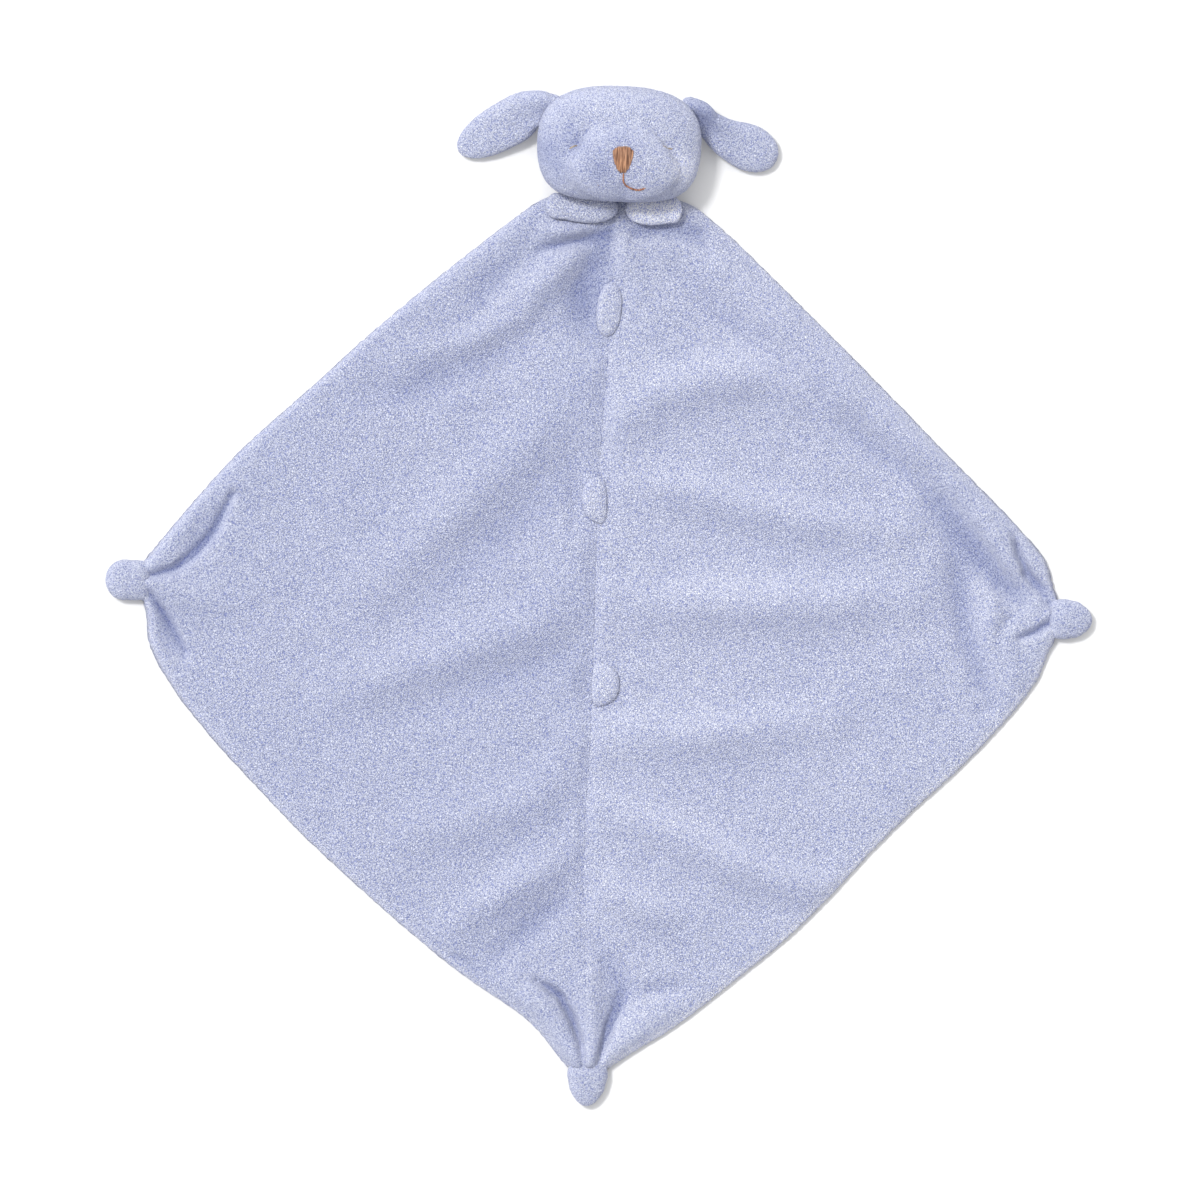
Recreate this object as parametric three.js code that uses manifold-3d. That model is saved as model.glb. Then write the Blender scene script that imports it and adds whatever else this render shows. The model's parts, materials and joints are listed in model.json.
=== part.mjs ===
// A comfort blanket: a square of two-layer plush laid flat as a diamond, with a stuffed puppy head
// and two paws on its top corner, and a small stuffed nub gathered on each of the other corners.
// X points right, Y towards the crown of the head and Z up from the table, in millimetres.
import * as THREE from "three";
import { mergeVertices } from "three/addons/utils/BufferGeometryUtils.js";
import Module from "manifold-3d";

const wasm = await Module();
wasm.setup();

// Cloth, thread and clearances
const clothThick = 3; // one layer of plush with its pile
const coverThick = 1.8; // the cover of a stuffed piece
const threadRadius = 0.6;
const gap = 0.3; // between pieces that touch
const fillGap = 0.6; // between a limb's cover and its stuffing
const headFillGap = 1.3; // the same in the head
const overrun = 2; // how far a cutter reaches past what it cuts

// Blanket: how far each corner's gather lies from the seam's middle, and the edges' bulges
const knotLeftReach = 231.5;
const knotRightReach = 234;
const knotBottomReach = 240;
const knotLeftDrop = 1;
const knotRightDrop = 2.7;
const knotBottomShift = 4.2;
const gatherHalf = 10;
const topReach = 203;
const topHalfWidth = 36;
const upperBulge = 12;
const lowerLeftBulge = 29;
const lowerRightBulge = 20;
const edgeRound = 5;
const edgeInset = 2.4;
const seamHalfGap = 0.15;
const upperLeftShares = [0, 0.32, 0.6, 0.8, 0.92, 0.9, 0.95, 0.96, 0.72, 0.36, 0];
const upperRightShares = [0, 0.35, 0.52, 0.66, 0.78, 0.87, 0.95, 1.05, 1.1, 0.8, 0];
const lowerLeftShares = [0, 0.6, 0.9, 1, 1, 0.96, 0.83, 0.65, 0.38, -0.06, 0];
const lowerRightShares = [0, 0.6, 0.85, 0.92, 0.86, 0.9, 1.03, 1.03, 0.82, 0.55, 0];

// Folds: each kind has a height and a half width, and its paths are in shares of the span
const foldSpan = 235;
const puff = 1.6;
const seamDraw = 9;
const edgeDraw = 8;
const highFold = 6.5;
const lowFold = 4.5;
const lobe = 3;
const valley = -2.5;
const deepValley = -4;
const wideFold = 12;
const narrowFold = 8;
const knotRise = 4;
const knotRiseReach = 17;
const calmReach = 37;
const tabCalm = 10;
const folds = [
  {
    height: highFold,
    width: wideFold,
    pathShares: [
      [[0.01, 0.36], [0.1, 0.44], [0.23, 0.48], [0.49, 0.43]],
      [[0.01, -0.01], [0.27, -0.01], [0.48, 0], [0.68, 0.03]],
      [[-0.04, 0.47], [-0.22, 0.27], [-0.35, 0.14], [-0.48, 0.01]],
      [[-0.04, 0.1], [-0.11, -0.06], [-0.25, -0.11], [-0.42, -0.18], [-0.58, -0.25]],
    ],
  },
  {
    height: lowFold,
    width: wideFold,
    pathShares: [
      [[0.04, 0.25], [0.21, 0.23], [0.43, 0.18], [0.65, 0.17]],
      [[0.01, -0.31], [0.19, -0.3], [0.34, -0.28], [0.5, -0.25]],
      [[0.22, 0.73], [0.42, 0.56], [0.64, 0.37], [0.91, 0.12]],
      [[-0.04, -0.34], [-0.13, -0.45], [-0.26, -0.5], [-0.41, -0.54]],
    ],
  },
  {
    height: highFold,
    width: narrowFold,
    pathShares: [
      [[0.02, -0.45], [0.15, -0.5], [0.29, -0.56], [0.44, -0.61], [0.52, -0.62]],
      [[-0.03, -0.56], [-0.16, -0.64], [-0.29, -0.73]],
    ],
  },
  {
    height: lowFold,
    width: narrowFold,
    pathShares: [
      [[0.01, -0.62], [0.12, -0.67], [0.23, -0.71]],
      [[-0.09, 0.72], [-0.19, 0.6], [-0.3, 0.54], [-0.4, 0.52]],
    ],
  },
  {
    height: valley,
    width: narrowFold,
    pathShares: [
      [[0.71, 0.15], [0.75, 0], [0.82, -0.17]],
      [[-0.14, 0.57], [-0.27, 0.5], [-0.45, 0.42], [-0.58, 0.41]],
      [[-0.03, 0.33], [-0.15, 0.2], [-0.29, 0.06], [-0.43, -0.07]],
      [[-0.03, -0.03], [-0.08, -0.13], [-0.22, -0.19], [-0.42, -0.27]],
      [[-0.01, -0.63], [-0.1, -0.71], [-0.22, -0.81]],
    ],
  },
];
// Lobes that run into the gathered corners, and the deep creases beside them
const cornerFolds = [
  {
    height: lobe,
    width: narrowFold,
    pathShares: [
      [[-0.96, 0.04], [-0.89, 0.12], [-0.8, 0.22]],
      [[0.77, 0.14], [0.82, 0], [0.88, -0.09]],
      [[-0.11, -0.9], [-0.055, -0.94], [-0.012, -1]],
    ],
  },
  {
    height: deepValley,
    width: narrowFold,
    pathShares: [
      [[0.31, 0.57], [0.51, 0.4], [0.69, 0.28], [0.9, 0.05]],
      [[-0.93, 0.02], [-0.85, 0.075], [-0.78, 0.17]],
      [[-0.95, -0.05], [-0.9, -0.108], [-0.86, -0.15]],
      [[-0.01, -0.94], [-0.03, -0.9], [-0.07, -0.86]],
      [[0.05, -0.96], [0.07, -0.91], [0.07, -0.86], [0.03, -0.8]],
    ],
  },
];

// Head: half sizes about its centre, the muzzle, the eye hollows and the drawn-in neck
const headHalfWidth = 41.3;
const headHalfHeight = 29;
const headFaceDepth = 22;
const headBackDepth = 26;
const headShift = 2.2;
const chinOverhang = 1.7;
const flatCut = 0.5;
const crownPower = 2.6;
const chinPower = 3.8;
const depthPower = 2.3;
const faceTurn = 2;
const muzzleHeight = 8;
const muzzleHalfWidth = 25.5;
const muzzleHalfLength = 16.5;
const muzzleDrop = 11;
const muzzlePower = 4;
const hollowDepth = 1.6;
const hollowSize = 6;
const neckDraw = 10.5;
const neckDrawWidth = 27;
const neckDrawDepth = 12.5;

// Neck: a flat gather held in the blanket's corner, and the drawn cuff that enters the head
const neckShift = 1.5;
const neckRadius = 6;
const cuffRadius = 5;
const cuffInside = 1;
const fillSink = 5;

// Ears: the root lies on the head at this height and lift around the outline
const earRootHeight = 17;
const earRootSpin = 21;
const earRootHalfWidth = 10.5;
const earHalfWidth = 10.2;
const earRootHalfThick = 4.5;
const earHalfThick = 5.6;
const earTipHeight = 5.1;
const earClear = 0.35;
const earLeftLength = 42;
const earRightLength = 40.3;
const earLeftShares = [[0.22, -0.06], [0.56, -0.3], [1, -0.57]];
const earRightShares = [[0.2, -0.09], [0.47, -0.27], [1, -0.44]];

// Arms
const armHalfWidth = 6.3;
const armHalfThick = 5;
const armDrop = 5;
const armBow = -1.4;
const armLeftRoot = 30.4;
const armRightRoot = 30;
const armLeftLength = 31.4;
const armRightLength = 24.4;

// Corner nubs
const nubRootHalfThick = 5;
const nubRootHalfWidth = 9.2;
const nubHalfThick = 6.8;
const nubHalfWidth = 10;
const nubAxisHeight = 6.5;
const nubLeftLength = 19;
const nubRightLength = 18;
const nubBottomLength = 19.6;
const nubLeftTaperShare = 0.05;
const nubRightTaperShare = 0.3;
const nubBottomTaperShare = 0.35;
const tieStation = 2.1;

// Tabs sewn into the centre seam: how far below the top each lies, its length, how far it reaches
// out from its sewn edge, how far that edge rolls over the seam and how much its ends draw in
const tabThick = 3;
const tabUpper = { drop: 57, length: 27, reach: 10.5, roll: 4.7, drawIn: 3.5 };
const tabMiddle = { drop: 154, length: 23.5, reach: 10.7, roll: 1.1, drawIn: 2.5 };
const tabLower = { drop: 248, length: 21.5, reach: 12.5, roll: 0, drawIn: 0 };

// Embroidery on the face
const noseHalfWidth = 5.3;
const noseHeight = 13.4;
const noseDrop = 0.5;
const noseThick = 1.3;
const mouthThread = 0.55;
const philtrum = 5;
const mouthReach = 11.5;
const mouthDip = 3.6;
const eyeThread = 0.6;
const eyeSpread = 23.8;
const eyeLength = 4.8;
const eyeDrop = 1.4;
const eyeSlope = 1.6;

// Derived places
const clothTop = 2 * clothThick + gap;
const neckPivot = new THREE.Vector3(neckShift, topReach, clothTop / 2);
const headCentre = new THREE.Vector3(
  headShift,
  topReach + headHalfHeight - chinOverhang,
  headBackDepth - flatCut,
);
const armAxisHeight = clothTop + gap + armHalfThick;

const colours = {
  plush: 0xbac0dc,
  lining: 0xb1b8d6,
  fill: 0xf1efea,
  thread: 0xa9b0d0,
  nose: 0xb97a4b,
  mouth: 0xb5714c,
  eye: 0x9a8a4e,
};

const lerp = THREE.MathUtils.lerp;
const clamp = THREE.MathUtils.clamp;
const bell = (share) => Math.exp(-share * share);

// A closed surface gathered from points and triangles, turned to face outwards
function closedGeometry(points, triangles) {
  let volume = 0;
  for (const [a, b, c] of triangles) {
    volume += points[a].dot(new THREE.Vector3().crossVectors(points[b], points[c]));
  }
  const index = volume < 0 ? triangles.map(([a, b, c]) => [a, c, b]) : triangles;
  const geometry = new THREE.BufferGeometry().setFromPoints(points);
  geometry.setIndex(index.flat());
  geometry.computeVertexNormals();
  return geometry;
}

function ringBand(from, to, count, triangles) {
  for (let k = 0; k < count; k++) {
    const next = (k + 1) % count;
    triangles.push([from + k, from + next, to + next]);
    triangles.push([from + k, to + next, to + k]);
  }
}

// A solid lofted through rings of points from a flat end to a pole
function loftedSolid(rings, pole) {
  const count = rings[0].length;
  const points = rings.flat();
  const triangles = [];
  for (let r = 0; r + 1 < rings.length; r++) {
    ringBand(r * count, (r + 1) * count, count, triangles);
  }
  const last = (rings.length - 1) * count;
  const poleIndex = points.push(pole) - 1;
  const middle = rings[0].reduce((sum, p) => sum.add(p), new THREE.Vector3());
  const capIndex = points.push(middle.divideScalar(count)) - 1;
  for (let k = 0; k < count; k++) {
    const next = (k + 1) % count;
    triangles.push([last + k, last + next, poleIndex]);
    triangles.push([next, k, capIndex]);
  }
  return closedGeometry(points, triangles);
}

// A cover lofted the same way outside and inside, open at its first ring
function loftedShell(outer, outerPole, inner, innerPole) {
  const count = outer[0].length;
  const points = [...outer.flat(), ...inner.flat()];
  const start = outer.length * count;
  const triangles = [];
  for (let r = 0; r + 1 < outer.length; r++) {
    ringBand(r * count, (r + 1) * count, count, triangles);
  }
  for (let r = 0; r + 1 < inner.length; r++) {
    ringBand(start + (r + 1) * count, start + r * count, count, triangles);
  }
  ringBand(start, 0, count, triangles);
  const outerIndex = points.push(outerPole) - 1;
  const innerIndex = points.push(innerPole) - 1;
  const lastOuter = start - count;
  const lastInner = start + (inner.length - 1) * count;
  for (let k = 0; k < count; k++) {
    const next = (k + 1) % count;
    triangles.push([lastOuter + k, lastOuter + next, outerIndex]);
    triangles.push([lastInner + next, lastInner + k, innerIndex]);
  }
  return closedGeometry(points, triangles);
}

// A slab between two grids of points with the same rows and columns
function slabGeometry(top, bottom) {
  const rows = top.length;
  const columns = top[0].length;
  const points = [...top.flat(), ...bottom.flat()];
  const under = rows * columns;
  const triangles = [];
  for (let r = 0; r + 1 < rows; r++) {
    for (let c = 0; c + 1 < columns; c++) {
      const at = r * columns + c;
      triangles.push([at, at + columns, at + columns + 1], [at, at + columns + 1, at + 1]);
      const low = under + at;
      triangles.push([low, low + columns + 1, low + columns], [low, low + 1, low + columns + 1]);
    }
  }
  const rim = [];
  for (let c = 0; c + 1 < columns; c++) rim.push(c);
  for (let r = 0; r + 1 < rows; r++) rim.push(r * columns + columns - 1);
  for (let c = columns - 1; c > 0; c--) rim.push((rows - 1) * columns + c);
  for (let r = rows - 1; r > 0; r--) rim.push(r * columns);
  rim.forEach((at, k) => {
    const next = rim[(k + 1) % rim.length];
    triangles.push([at, next, under + next], [at, under + next, under + at]);
  });
  return closedGeometry(points, triangles);
}

function toManifold(geometry) {
  const plain = geometry.clone();
  plain.deleteAttribute("normal");
  plain.deleteAttribute("uv");
  const merged = mergeVertices(plain);
  return new wasm.Manifold(
    new wasm.Mesh({
      numProp: 3,
      vertProperties: merged.attributes.position.array,
      triVerts: new Uint32Array(merged.index.array),
    }),
  );
}

function fromManifold(solid) {
  const mesh = solid.getMesh();
  const geometry = new THREE.BufferGeometry();
  geometry.setAttribute("position", new THREE.BufferAttribute(mesh.vertProperties, 3));
  geometry.setIndex(new THREE.BufferAttribute(mesh.triVerts, 1));
  geometry.computeVertexNormals();
  return geometry;
}

// Blanket

const leftSide = {
  sign: -1,
  reach: knotLeftReach,
  drop: knotLeftDrop,
  top: topHalfWidth - headShift,
  bottom: gatherHalf - knotBottomShift,
  upperShares: upperLeftShares,
  lowerShares: lowerLeftShares,
  lowerBulge: lowerLeftBulge,
};
const rightSide = {
  sign: 1,
  reach: knotRightReach,
  drop: knotRightDrop,
  top: topHalfWidth + headShift,
  bottom: gatherHalf + knotBottomShift,
  upperShares: upperRightShares,
  lowerShares: lowerRightShares,
  lowerBulge: lowerRightBulge,
};

// A smooth curve through evenly spaced shares
function shareAt(shares, s) {
  const points = shares.map((share, k) => new THREE.Vector2(k / (shares.length - 1), share));
  return new THREE.SplineCurve(points).getPoint(clamp(s, 0, 1)).y;
}

// The blanket's half width on one side of the seam at a height y
function sideWidth(side, y) {
  const upperEnd = gatherHalf - side.drop;
  const lowerStart = -gatherHalf - side.drop;
  if (y > upperEnd) {
    const s = (topReach - y) / (topReach - upperEnd);
    return lerp(side.top, side.reach, s) + upperBulge * shareAt(side.upperShares, s);
  }
  if (y < lowerStart) {
    const s = (lowerStart - y) / (lowerStart + knotBottomReach);
    return lerp(side.reach, side.bottom, s) + side.lowerBulge * shareAt(side.lowerShares, s);
  }
  return side.reach;
}

function rowHeights(side) {
  const upperRows = 12;
  const gatherRows = 2;
  const lowerRows = 16;
  const upperEnd = gatherHalf - side.drop;
  const lowerStart = -gatherHalf - side.drop;
  const rows = [];
  for (let r = 0; r < upperRows; r++) rows.push(lerp(topReach, upperEnd, r / upperRows));
  for (let r = 0; r < gatherRows; r++) rows.push(lerp(upperEnd, lowerStart, r / gatherRows));
  for (let r = 0; r <= lowerRows; r++) rows.push(lerp(lowerStart, -knotBottomReach, r / lowerRows));
  return rows;
}

// Distance from a point to a fold's path, and how far along the path it falls
function alongPath(pathShares, x, y) {
  let best = Infinity;
  let station = 0;
  const pieces = pathShares.length - 1;
  for (let k = 0; k < pieces; k++) {
    const [ax, ay] = pathShares[k].map((share) => share * foldSpan);
    const [bx, by] = pathShares[k + 1].map((share) => share * foldSpan);
    const length2 = (bx - ax) ** 2 + (by - ay) ** 2;
    const t = clamp(((x - ax) * (bx - ax) + (y - ay) * (by - ay)) / length2, 0, 1);
    const distance = Math.hypot(x - lerp(ax, bx, t), y - lerp(ay, by, t));
    if (distance < best) {
      best = distance;
      station = (k + t) / pieces;
    }
  }
  return { distance: best, station };
}

const knotPlaces = [
  new THREE.Vector2(-knotLeftReach, -knotLeftDrop),
  new THREE.Vector2(knotRightReach, -knotRightDrop),
  new THREE.Vector2(knotBottomShift, -knotBottomReach),
];

// Distance from a point to the rectangle that a tab can lie on, on either side of the seam
function tabDistance(tab, x, y) {
  const beside = Math.max(0, Math.abs(x) - tab.reach - tab.roll);
  const beyond = Math.max(0, Math.abs(y - topReach + tab.drop) - tab.length / 2);
  return Math.hypot(beside, beyond);
}

// The height that one kind of fold adds at a point; each fold fades towards its ends
function foldHeight({ height, width, pathShares }, x, y) {
  let sum = 0;
  for (const path of pathShares) {
    const { distance, station } = alongPath(path, x, y);
    const fade = Math.sqrt(Math.sin(Math.PI * clamp(station, 0.06, 0.94)));
    sum += height * bell(distance / width) * fade;
  }
  return sum;
}

// How far the front layer stands off the back one
function puckerHeight(x, y, edge) {
  let height = puff;
  for (const kind of [...folds, ...cornerFolds]) height += foldHeight(kind, x, y);
  height = Math.max(height, 0);
  height *= 1 - bell(x / seamDraw);
  height *= 1 - bell(edge / edgeDraw);
  height *= 1 - bell(Math.hypot(x - neckShift, y - topReach + armDrop + armHalfWidth) / calmReach);
  for (const tab of [tabUpper, tabMiddle, tabLower]) {
    height *= 1 - bell(tabDistance(tab, x, y) / tabCalm);
  }
  for (const place of knotPlaces) {
    height += knotRise * bell(Math.hypot(x - place.x, y - place.y) / knotRiseReach);
  }
  return height;
}

function frontPanel(side) {
  const innerColumns = 15;
  const top = [];
  const bottom = [];
  for (const y of rowHeights(side)) {
    const width = sideWidth(side, y);
    const stations = [];
    const inner = width - edgeRound * 1.2;
    for (let c = 0; c <= innerColumns; c++) {
      stations.push(lerp(seamHalfGap, Math.max(inner, width / 2), c / innerColumns));
    }
    stations.push(width - edgeRound * 0.3, width);
    const topRow = [];
    const bottomRow = [];
    for (const x of stations) {
      const edge = Math.min(width - x, topReach - y + edgeRound, y + knotBottomReach + edgeRound);
      const curl = clamp(1 - edge / edgeRound, 0, 0.96);
      const base = clothThick + gap + puckerHeight(side.sign * x, y, edge);
      bottomRow.push(new THREE.Vector3(side.sign * x, y, base));
      topRow.push(new THREE.Vector3(side.sign * x, y, base + clothThick * Math.sqrt(1 - curl * curl)));
    }
    top.push(topRow);
    bottom.push(bottomRow);
  }
  return slabGeometry(top, bottom);
}

// The blanket's outline, counter-clockwise from the top right corner
function outline() {
  const right = rowHeights(rightSide).map((y) => new THREE.Vector2(sideWidth(rightSide, y), y));
  const left = rowHeights(leftSide).map((y) => new THREE.Vector2(-sideWidth(leftSide, y), y));
  return [...left, ...right.reverse()];
}

// The back layer is a flat sheet whose lower edge is rounded off
function backPanel() {
  const ring = outline();
  const inset = ring.map((p, k) => {
    const before = ring[(k + ring.length - 1) % ring.length];
    const after = ring[(k + 1) % ring.length];
    const along = after.clone().sub(before).normalize();
    return p.clone().add(new THREE.Vector2(-along.y, along.x).multiplyScalar(edgeInset));
  });
  const count = ring.length;
  const at = (p, z) => new THREE.Vector3(p.x, p.y, z);
  const points = [
    ...inset.map((p) => at(p, 0)),
    ...ring.map((p) => at(p, clothThick * 0.6)),
    ...ring.map((p) => at(p, clothThick)),
  ];
  const triangles = [];
  ringBand(0, count, count, triangles);
  ringBand(count, 2 * count, count, triangles);
  for (const [a, b, c] of THREE.ShapeUtils.triangulateShape(inset, [])) triangles.push([c, b, a]);
  for (const [a, b, c] of THREE.ShapeUtils.triangulateShape(ring, [])) {
    triangles.push([2 * count + a, 2 * count + b, 2 * count + c]);
  }
  return closedGeometry(points, triangles);
}

// The notch in the blanket's top edge that holds the neck gather
function notched(geometry) {
  const cutter = new THREE.CylinderGeometry(neckRadius + gap, neckRadius + gap, clothTop + 2 * overrun, 24);
  cutter.rotateX(Math.PI / 2);
  cutter.translate(neckPivot.x, neckPivot.y, neckPivot.z);
  return fromManifold(toManifold(geometry).subtract(toManifold(cutter)));
}

// Head

const neckDirection = neckPivot.clone().sub(headCentre).normalize();

// How far the head's surface lies from its centre along a unit direction
function headReach(direction) {
  const turn = THREE.MathUtils.smoothstep(-direction.y, 0, 1);
  const power = lerp(crownPower, chinPower, turn);
  const plan =
    Math.abs(direction.x / headHalfWidth) ** power + Math.abs(direction.y / headHalfHeight) ** power;
  const depth = direction.z > 0 ? headFaceDepth : headBackDepth;
  const sum = plan ** (depthPower / power) + Math.abs(direction.z / depth) ** depthPower;
  let reach = 1 / sum ** (1 / depthPower);
  const x = direction.x * reach - faceTurn;
  const y = direction.y * reach;
  const face = clamp(direction.z * 2, 0, 1);
  const fromMuzzle = Math.hypot(x / muzzleHalfWidth, (y + muzzleDrop) / muzzleHalfLength);
  const muzzle = Math.exp(-(fromMuzzle ** muzzlePower));
  const hollows = [-eyeSpread, eyeSpread].reduce(
    (sum, eye) => sum + bell(Math.hypot(x - eye, y + eyeDrop) / hollowSize),
    0,
  );
  reach += face * (muzzleHeight * muzzle - hollowDepth * hollows);
  return reach - neckDraw * neckShare(direction);
}

// One towards the neck, falling to nothing away from it
function neckShare(direction) {
  const away = direction.clone().sub(neckDirection).multiplyScalar(headHalfHeight);
  return Math.exp(-((away.x / neckDrawWidth) ** 2) - (away.y ** 2 + away.z ** 2) / neckDrawDepth ** 2);
}

function headPoint(direction, inward, floor) {
  const point = headCentre.clone().addScaledVector(direction, headReach(direction) - inward);
  point.z = Math.max(point.z, floor);
  return point;
}

function headRings(inward, floor, closing, sink = 0) {
  const around = 26;
  const along = 15;
  const pole = neckDirection.clone().negate();
  const side = new THREE.Vector3(1, 0, 0).cross(pole).normalize();
  const across = pole.clone().cross(side).normalize();
  const rings = [];
  for (let r = 0; r < along; r++) {
    const angle = lerp(closing, 0, r / along);
    const ring = [];
    for (let k = 0; k < around; k++) {
      const spin = (2 * Math.PI * k) / around;
      const direction = pole.clone().multiplyScalar(Math.cos(angle));
      direction.addScaledVector(side, Math.sin(angle) * Math.cos(spin));
      direction.addScaledVector(across, Math.sin(angle) * Math.sin(spin));
      direction.normalize();
      ring.push(headPoint(direction, inward + sink * neckShare(direction), floor));
    }
    rings.push(ring);
  }
  return { rings, pole: headPoint(pole, inward, floor) };
}

// The angle at which the head's skin closes on the cuff
function neckOpening(radius) {
  const reach = headReach(neckDirection);
  return Math.PI - Math.asin(radius / reach);
}

function headCover() {
  const opening = neckOpening(cuffRadius + gap + coverThick / 2);
  const outer = headRings(0, 0, opening);
  const inner = headRings(coverThick, coverThick, opening);
  return loftedShell(outer.rings, outer.pole, inner.rings, inner.pole);
}

function headFill() {
  const opening = neckOpening(cuffRadius + gap + coverThick / 2);
  const inside = coverThick + headFillGap;
  const fill = headRings(inside, inside, opening, fillSink);
  return loftedSolid(fill.rings, fill.pole);
}

// Neck

// A flat gathered pad, thickest in its middle, that turns in the blanket's notch
function neckGather() {
  const half = clothTop / 2 - gap;
  const profile = [
    new THREE.Vector2(0, -half),
    new THREE.Vector2(neckRadius * 0.7, -half),
    new THREE.Vector2(neckRadius, -half * 0.5),
    new THREE.Vector2(neckRadius, half * 0.5),
    new THREE.Vector2(neckRadius * 0.7, half),
    new THREE.Vector2(0, half),
  ];
  const geometry = new THREE.LatheGeometry(profile, 24);
  geometry.rotateX(Math.PI / 2);
  return geometry;
}

// The drawn cuff from the gather to the head, a rounded cone along the neck's direction
function neckCuff() {
  const length = cuffLength();
  const profile = [
    new THREE.Vector2(0, 0),
    new THREE.Vector2(cuffRadius * 0.55, 0),
    new THREE.Vector2(cuffRadius * 0.8, length * 0.2),
    new THREE.Vector2(cuffRadius * 0.8, length * 0.55),
    new THREE.Vector2(cuffRadius, length * 0.75),
    new THREE.Vector2(cuffRadius, length),
    new THREE.Vector2(0, length),
  ];
  return new THREE.LatheGeometry(profile, 20);
}

// The cuff starts clear of the gather at every nod
function cuffStart() {
  const half = clothTop / 2 - gap;
  return Math.hypot(neckRadius, half * 0.5) + gap;
}

function cuffLength() {
  return headCentre.distanceTo(neckPivot) - headReach(neckDirection) - cuffStart() + cuffInside;
}

// A thread ring round an oval
function ovalRing(halfWidth, halfHeight, tube) {
  const around = 22;
  const sides = 6;
  const points = [];
  const triangles = [];
  for (let k = 0; k < around; k++) {
    const spin = (2 * Math.PI * k) / around;
    for (let s = 0; s < sides; s++) {
      const roll = (2 * Math.PI * s) / sides;
      const out = tube * Math.cos(roll);
      points.push(
        new THREE.Vector3(
          (halfWidth + out) * Math.cos(spin),
          (halfHeight + out) * Math.sin(spin),
          tube * Math.sin(roll),
        ),
      );
    }
  }
  for (let k = 0; k < around; k++) {
    ringBand(k * sides, ((k + 1) % around) * sides, sides, triangles);
  }
  return closedGeometry(points, triangles);
}

// Stuffed limbs: sections along a curve, flat oval in shape, closed by a rounded tip

// A lifted root swings this share of its radius back past its hinge
const seatShare = 0.95;

function section(centre, across, up, halfWidth, halfThick, floor, count) {
  const ring = [];
  for (let k = 0; k < count; k++) {
    const spin = (2 * Math.PI * k) / count;
    const point = centre.clone();
    point.addScaledVector(across, halfWidth * Math.cos(spin));
    point.addScaledVector(up, halfThick * Math.sin(spin));
    point.z = Math.max(point.z, floor);
    ring.push(point);
  }
  return ring;
}

// Rings of a limb from its rounded root to its tip; inward shrinks it for the lining and the fill
function limbRings(limb, inward, floor) {
  const rootSteps = [0.85, 0.5, 0];
  const bodySteps = [0.18, 0.38, 0.58, 0.76, 0.89, 0.97];
  const count = 14;
  const rings = [];
  const place = (station) => limb.curve.getPointAt(clamp(station, 0, 1));
  const frame = (station) => {
    const along = limb.curve.getTangentAt(clamp(station, 0, 1));
    const across = new THREE.Vector3(0, 0, 1).cross(along).normalize();
    if (limb.rootAcross) across.lerp(limb.rootAcross, 1 - clamp(2 * station, 0, 1)).normalize();
    along.addScaledVector(across, -along.dot(across)).normalize();
    return { along, across, up: along.clone().cross(across).normalize() };
  };
  const root = frame(0);
  const edge = limb.roundPlan ? limb.rootHalfWidth : limb.rootHalfThick;
  for (const step of rootSteps) {
    const shrink = Math.sqrt(1 - step * step);
    const centre = place(0).addScaledVector(root.along, -step * edge);
    const wide = limb.rootHalfWidth * (limb.roundPlan ? shrink : 0.88 + 0.12 * shrink);
    const thick = limb.rootHalfThick * (limb.roundPlan ? 0.75 + 0.25 * shrink : shrink);
    rings.push(section(centre, root.across, root.up, wide - inward, thick - inward, floor, count));
  }
  const reach = 1 - inward / limb.curve.getLength();
  for (const step of bodySteps) {
    const station = step * reach;
    const at = frame(station);
    const swell = THREE.MathUtils.smoothstep(step, limb.swellStart, 0.5);
    const close = (1 - Math.max(0, (step - limb.tipStart) / (1 - limb.tipStart)) ** 2.2) ** 0.5;
    const narrow = close * (1 - limb.taperShare * station);
    const wide = lerp(limb.rootHalfWidth, limb.halfWidth, swell) * narrow;
    const thick = lerp(limb.rootHalfThick, limb.halfThick, swell) * narrow;
    rings.push(
      section(
        place(station),
        at.across,
        at.up,
        Math.max(wide - inward, wide * 0.3),
        Math.max(thick - inward, thick * 0.3),
        floor,
        count,
      ),
    );
  }
  return { rings, pole: place(reach) };
}

function limbCover(limb) {
  const outer = limbRings(limb, 0, limb.floor);
  const inner = limbRings(limb, coverThick, limb.floor + coverThick);
  return loftedShell(outer.rings, outer.pole, inner.rings, inner.pole);
}

function limbFill(limb) {
  const inside = coverThick + fillGap;
  const fill = limbRings(limb, inside, limb.floor + coverThick + gap);
  return loftedSolid(fill.rings, fill.pole);
}

const earTurnStep = THREE.MathUtils.degToRad(6);

// A point on the head's outline at the height of the ears' roots
function outlinePoint(sign, spin) {
  const level = (earRootHeight - headCentre.z) / headHalfWidth;
  const direction = new THREE.Vector3(sign * Math.cos(spin), Math.sin(spin), level);
  const point = headPoint(direction.normalize(), 0, 0);
  return point.setZ(earRootHeight);
}

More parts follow.
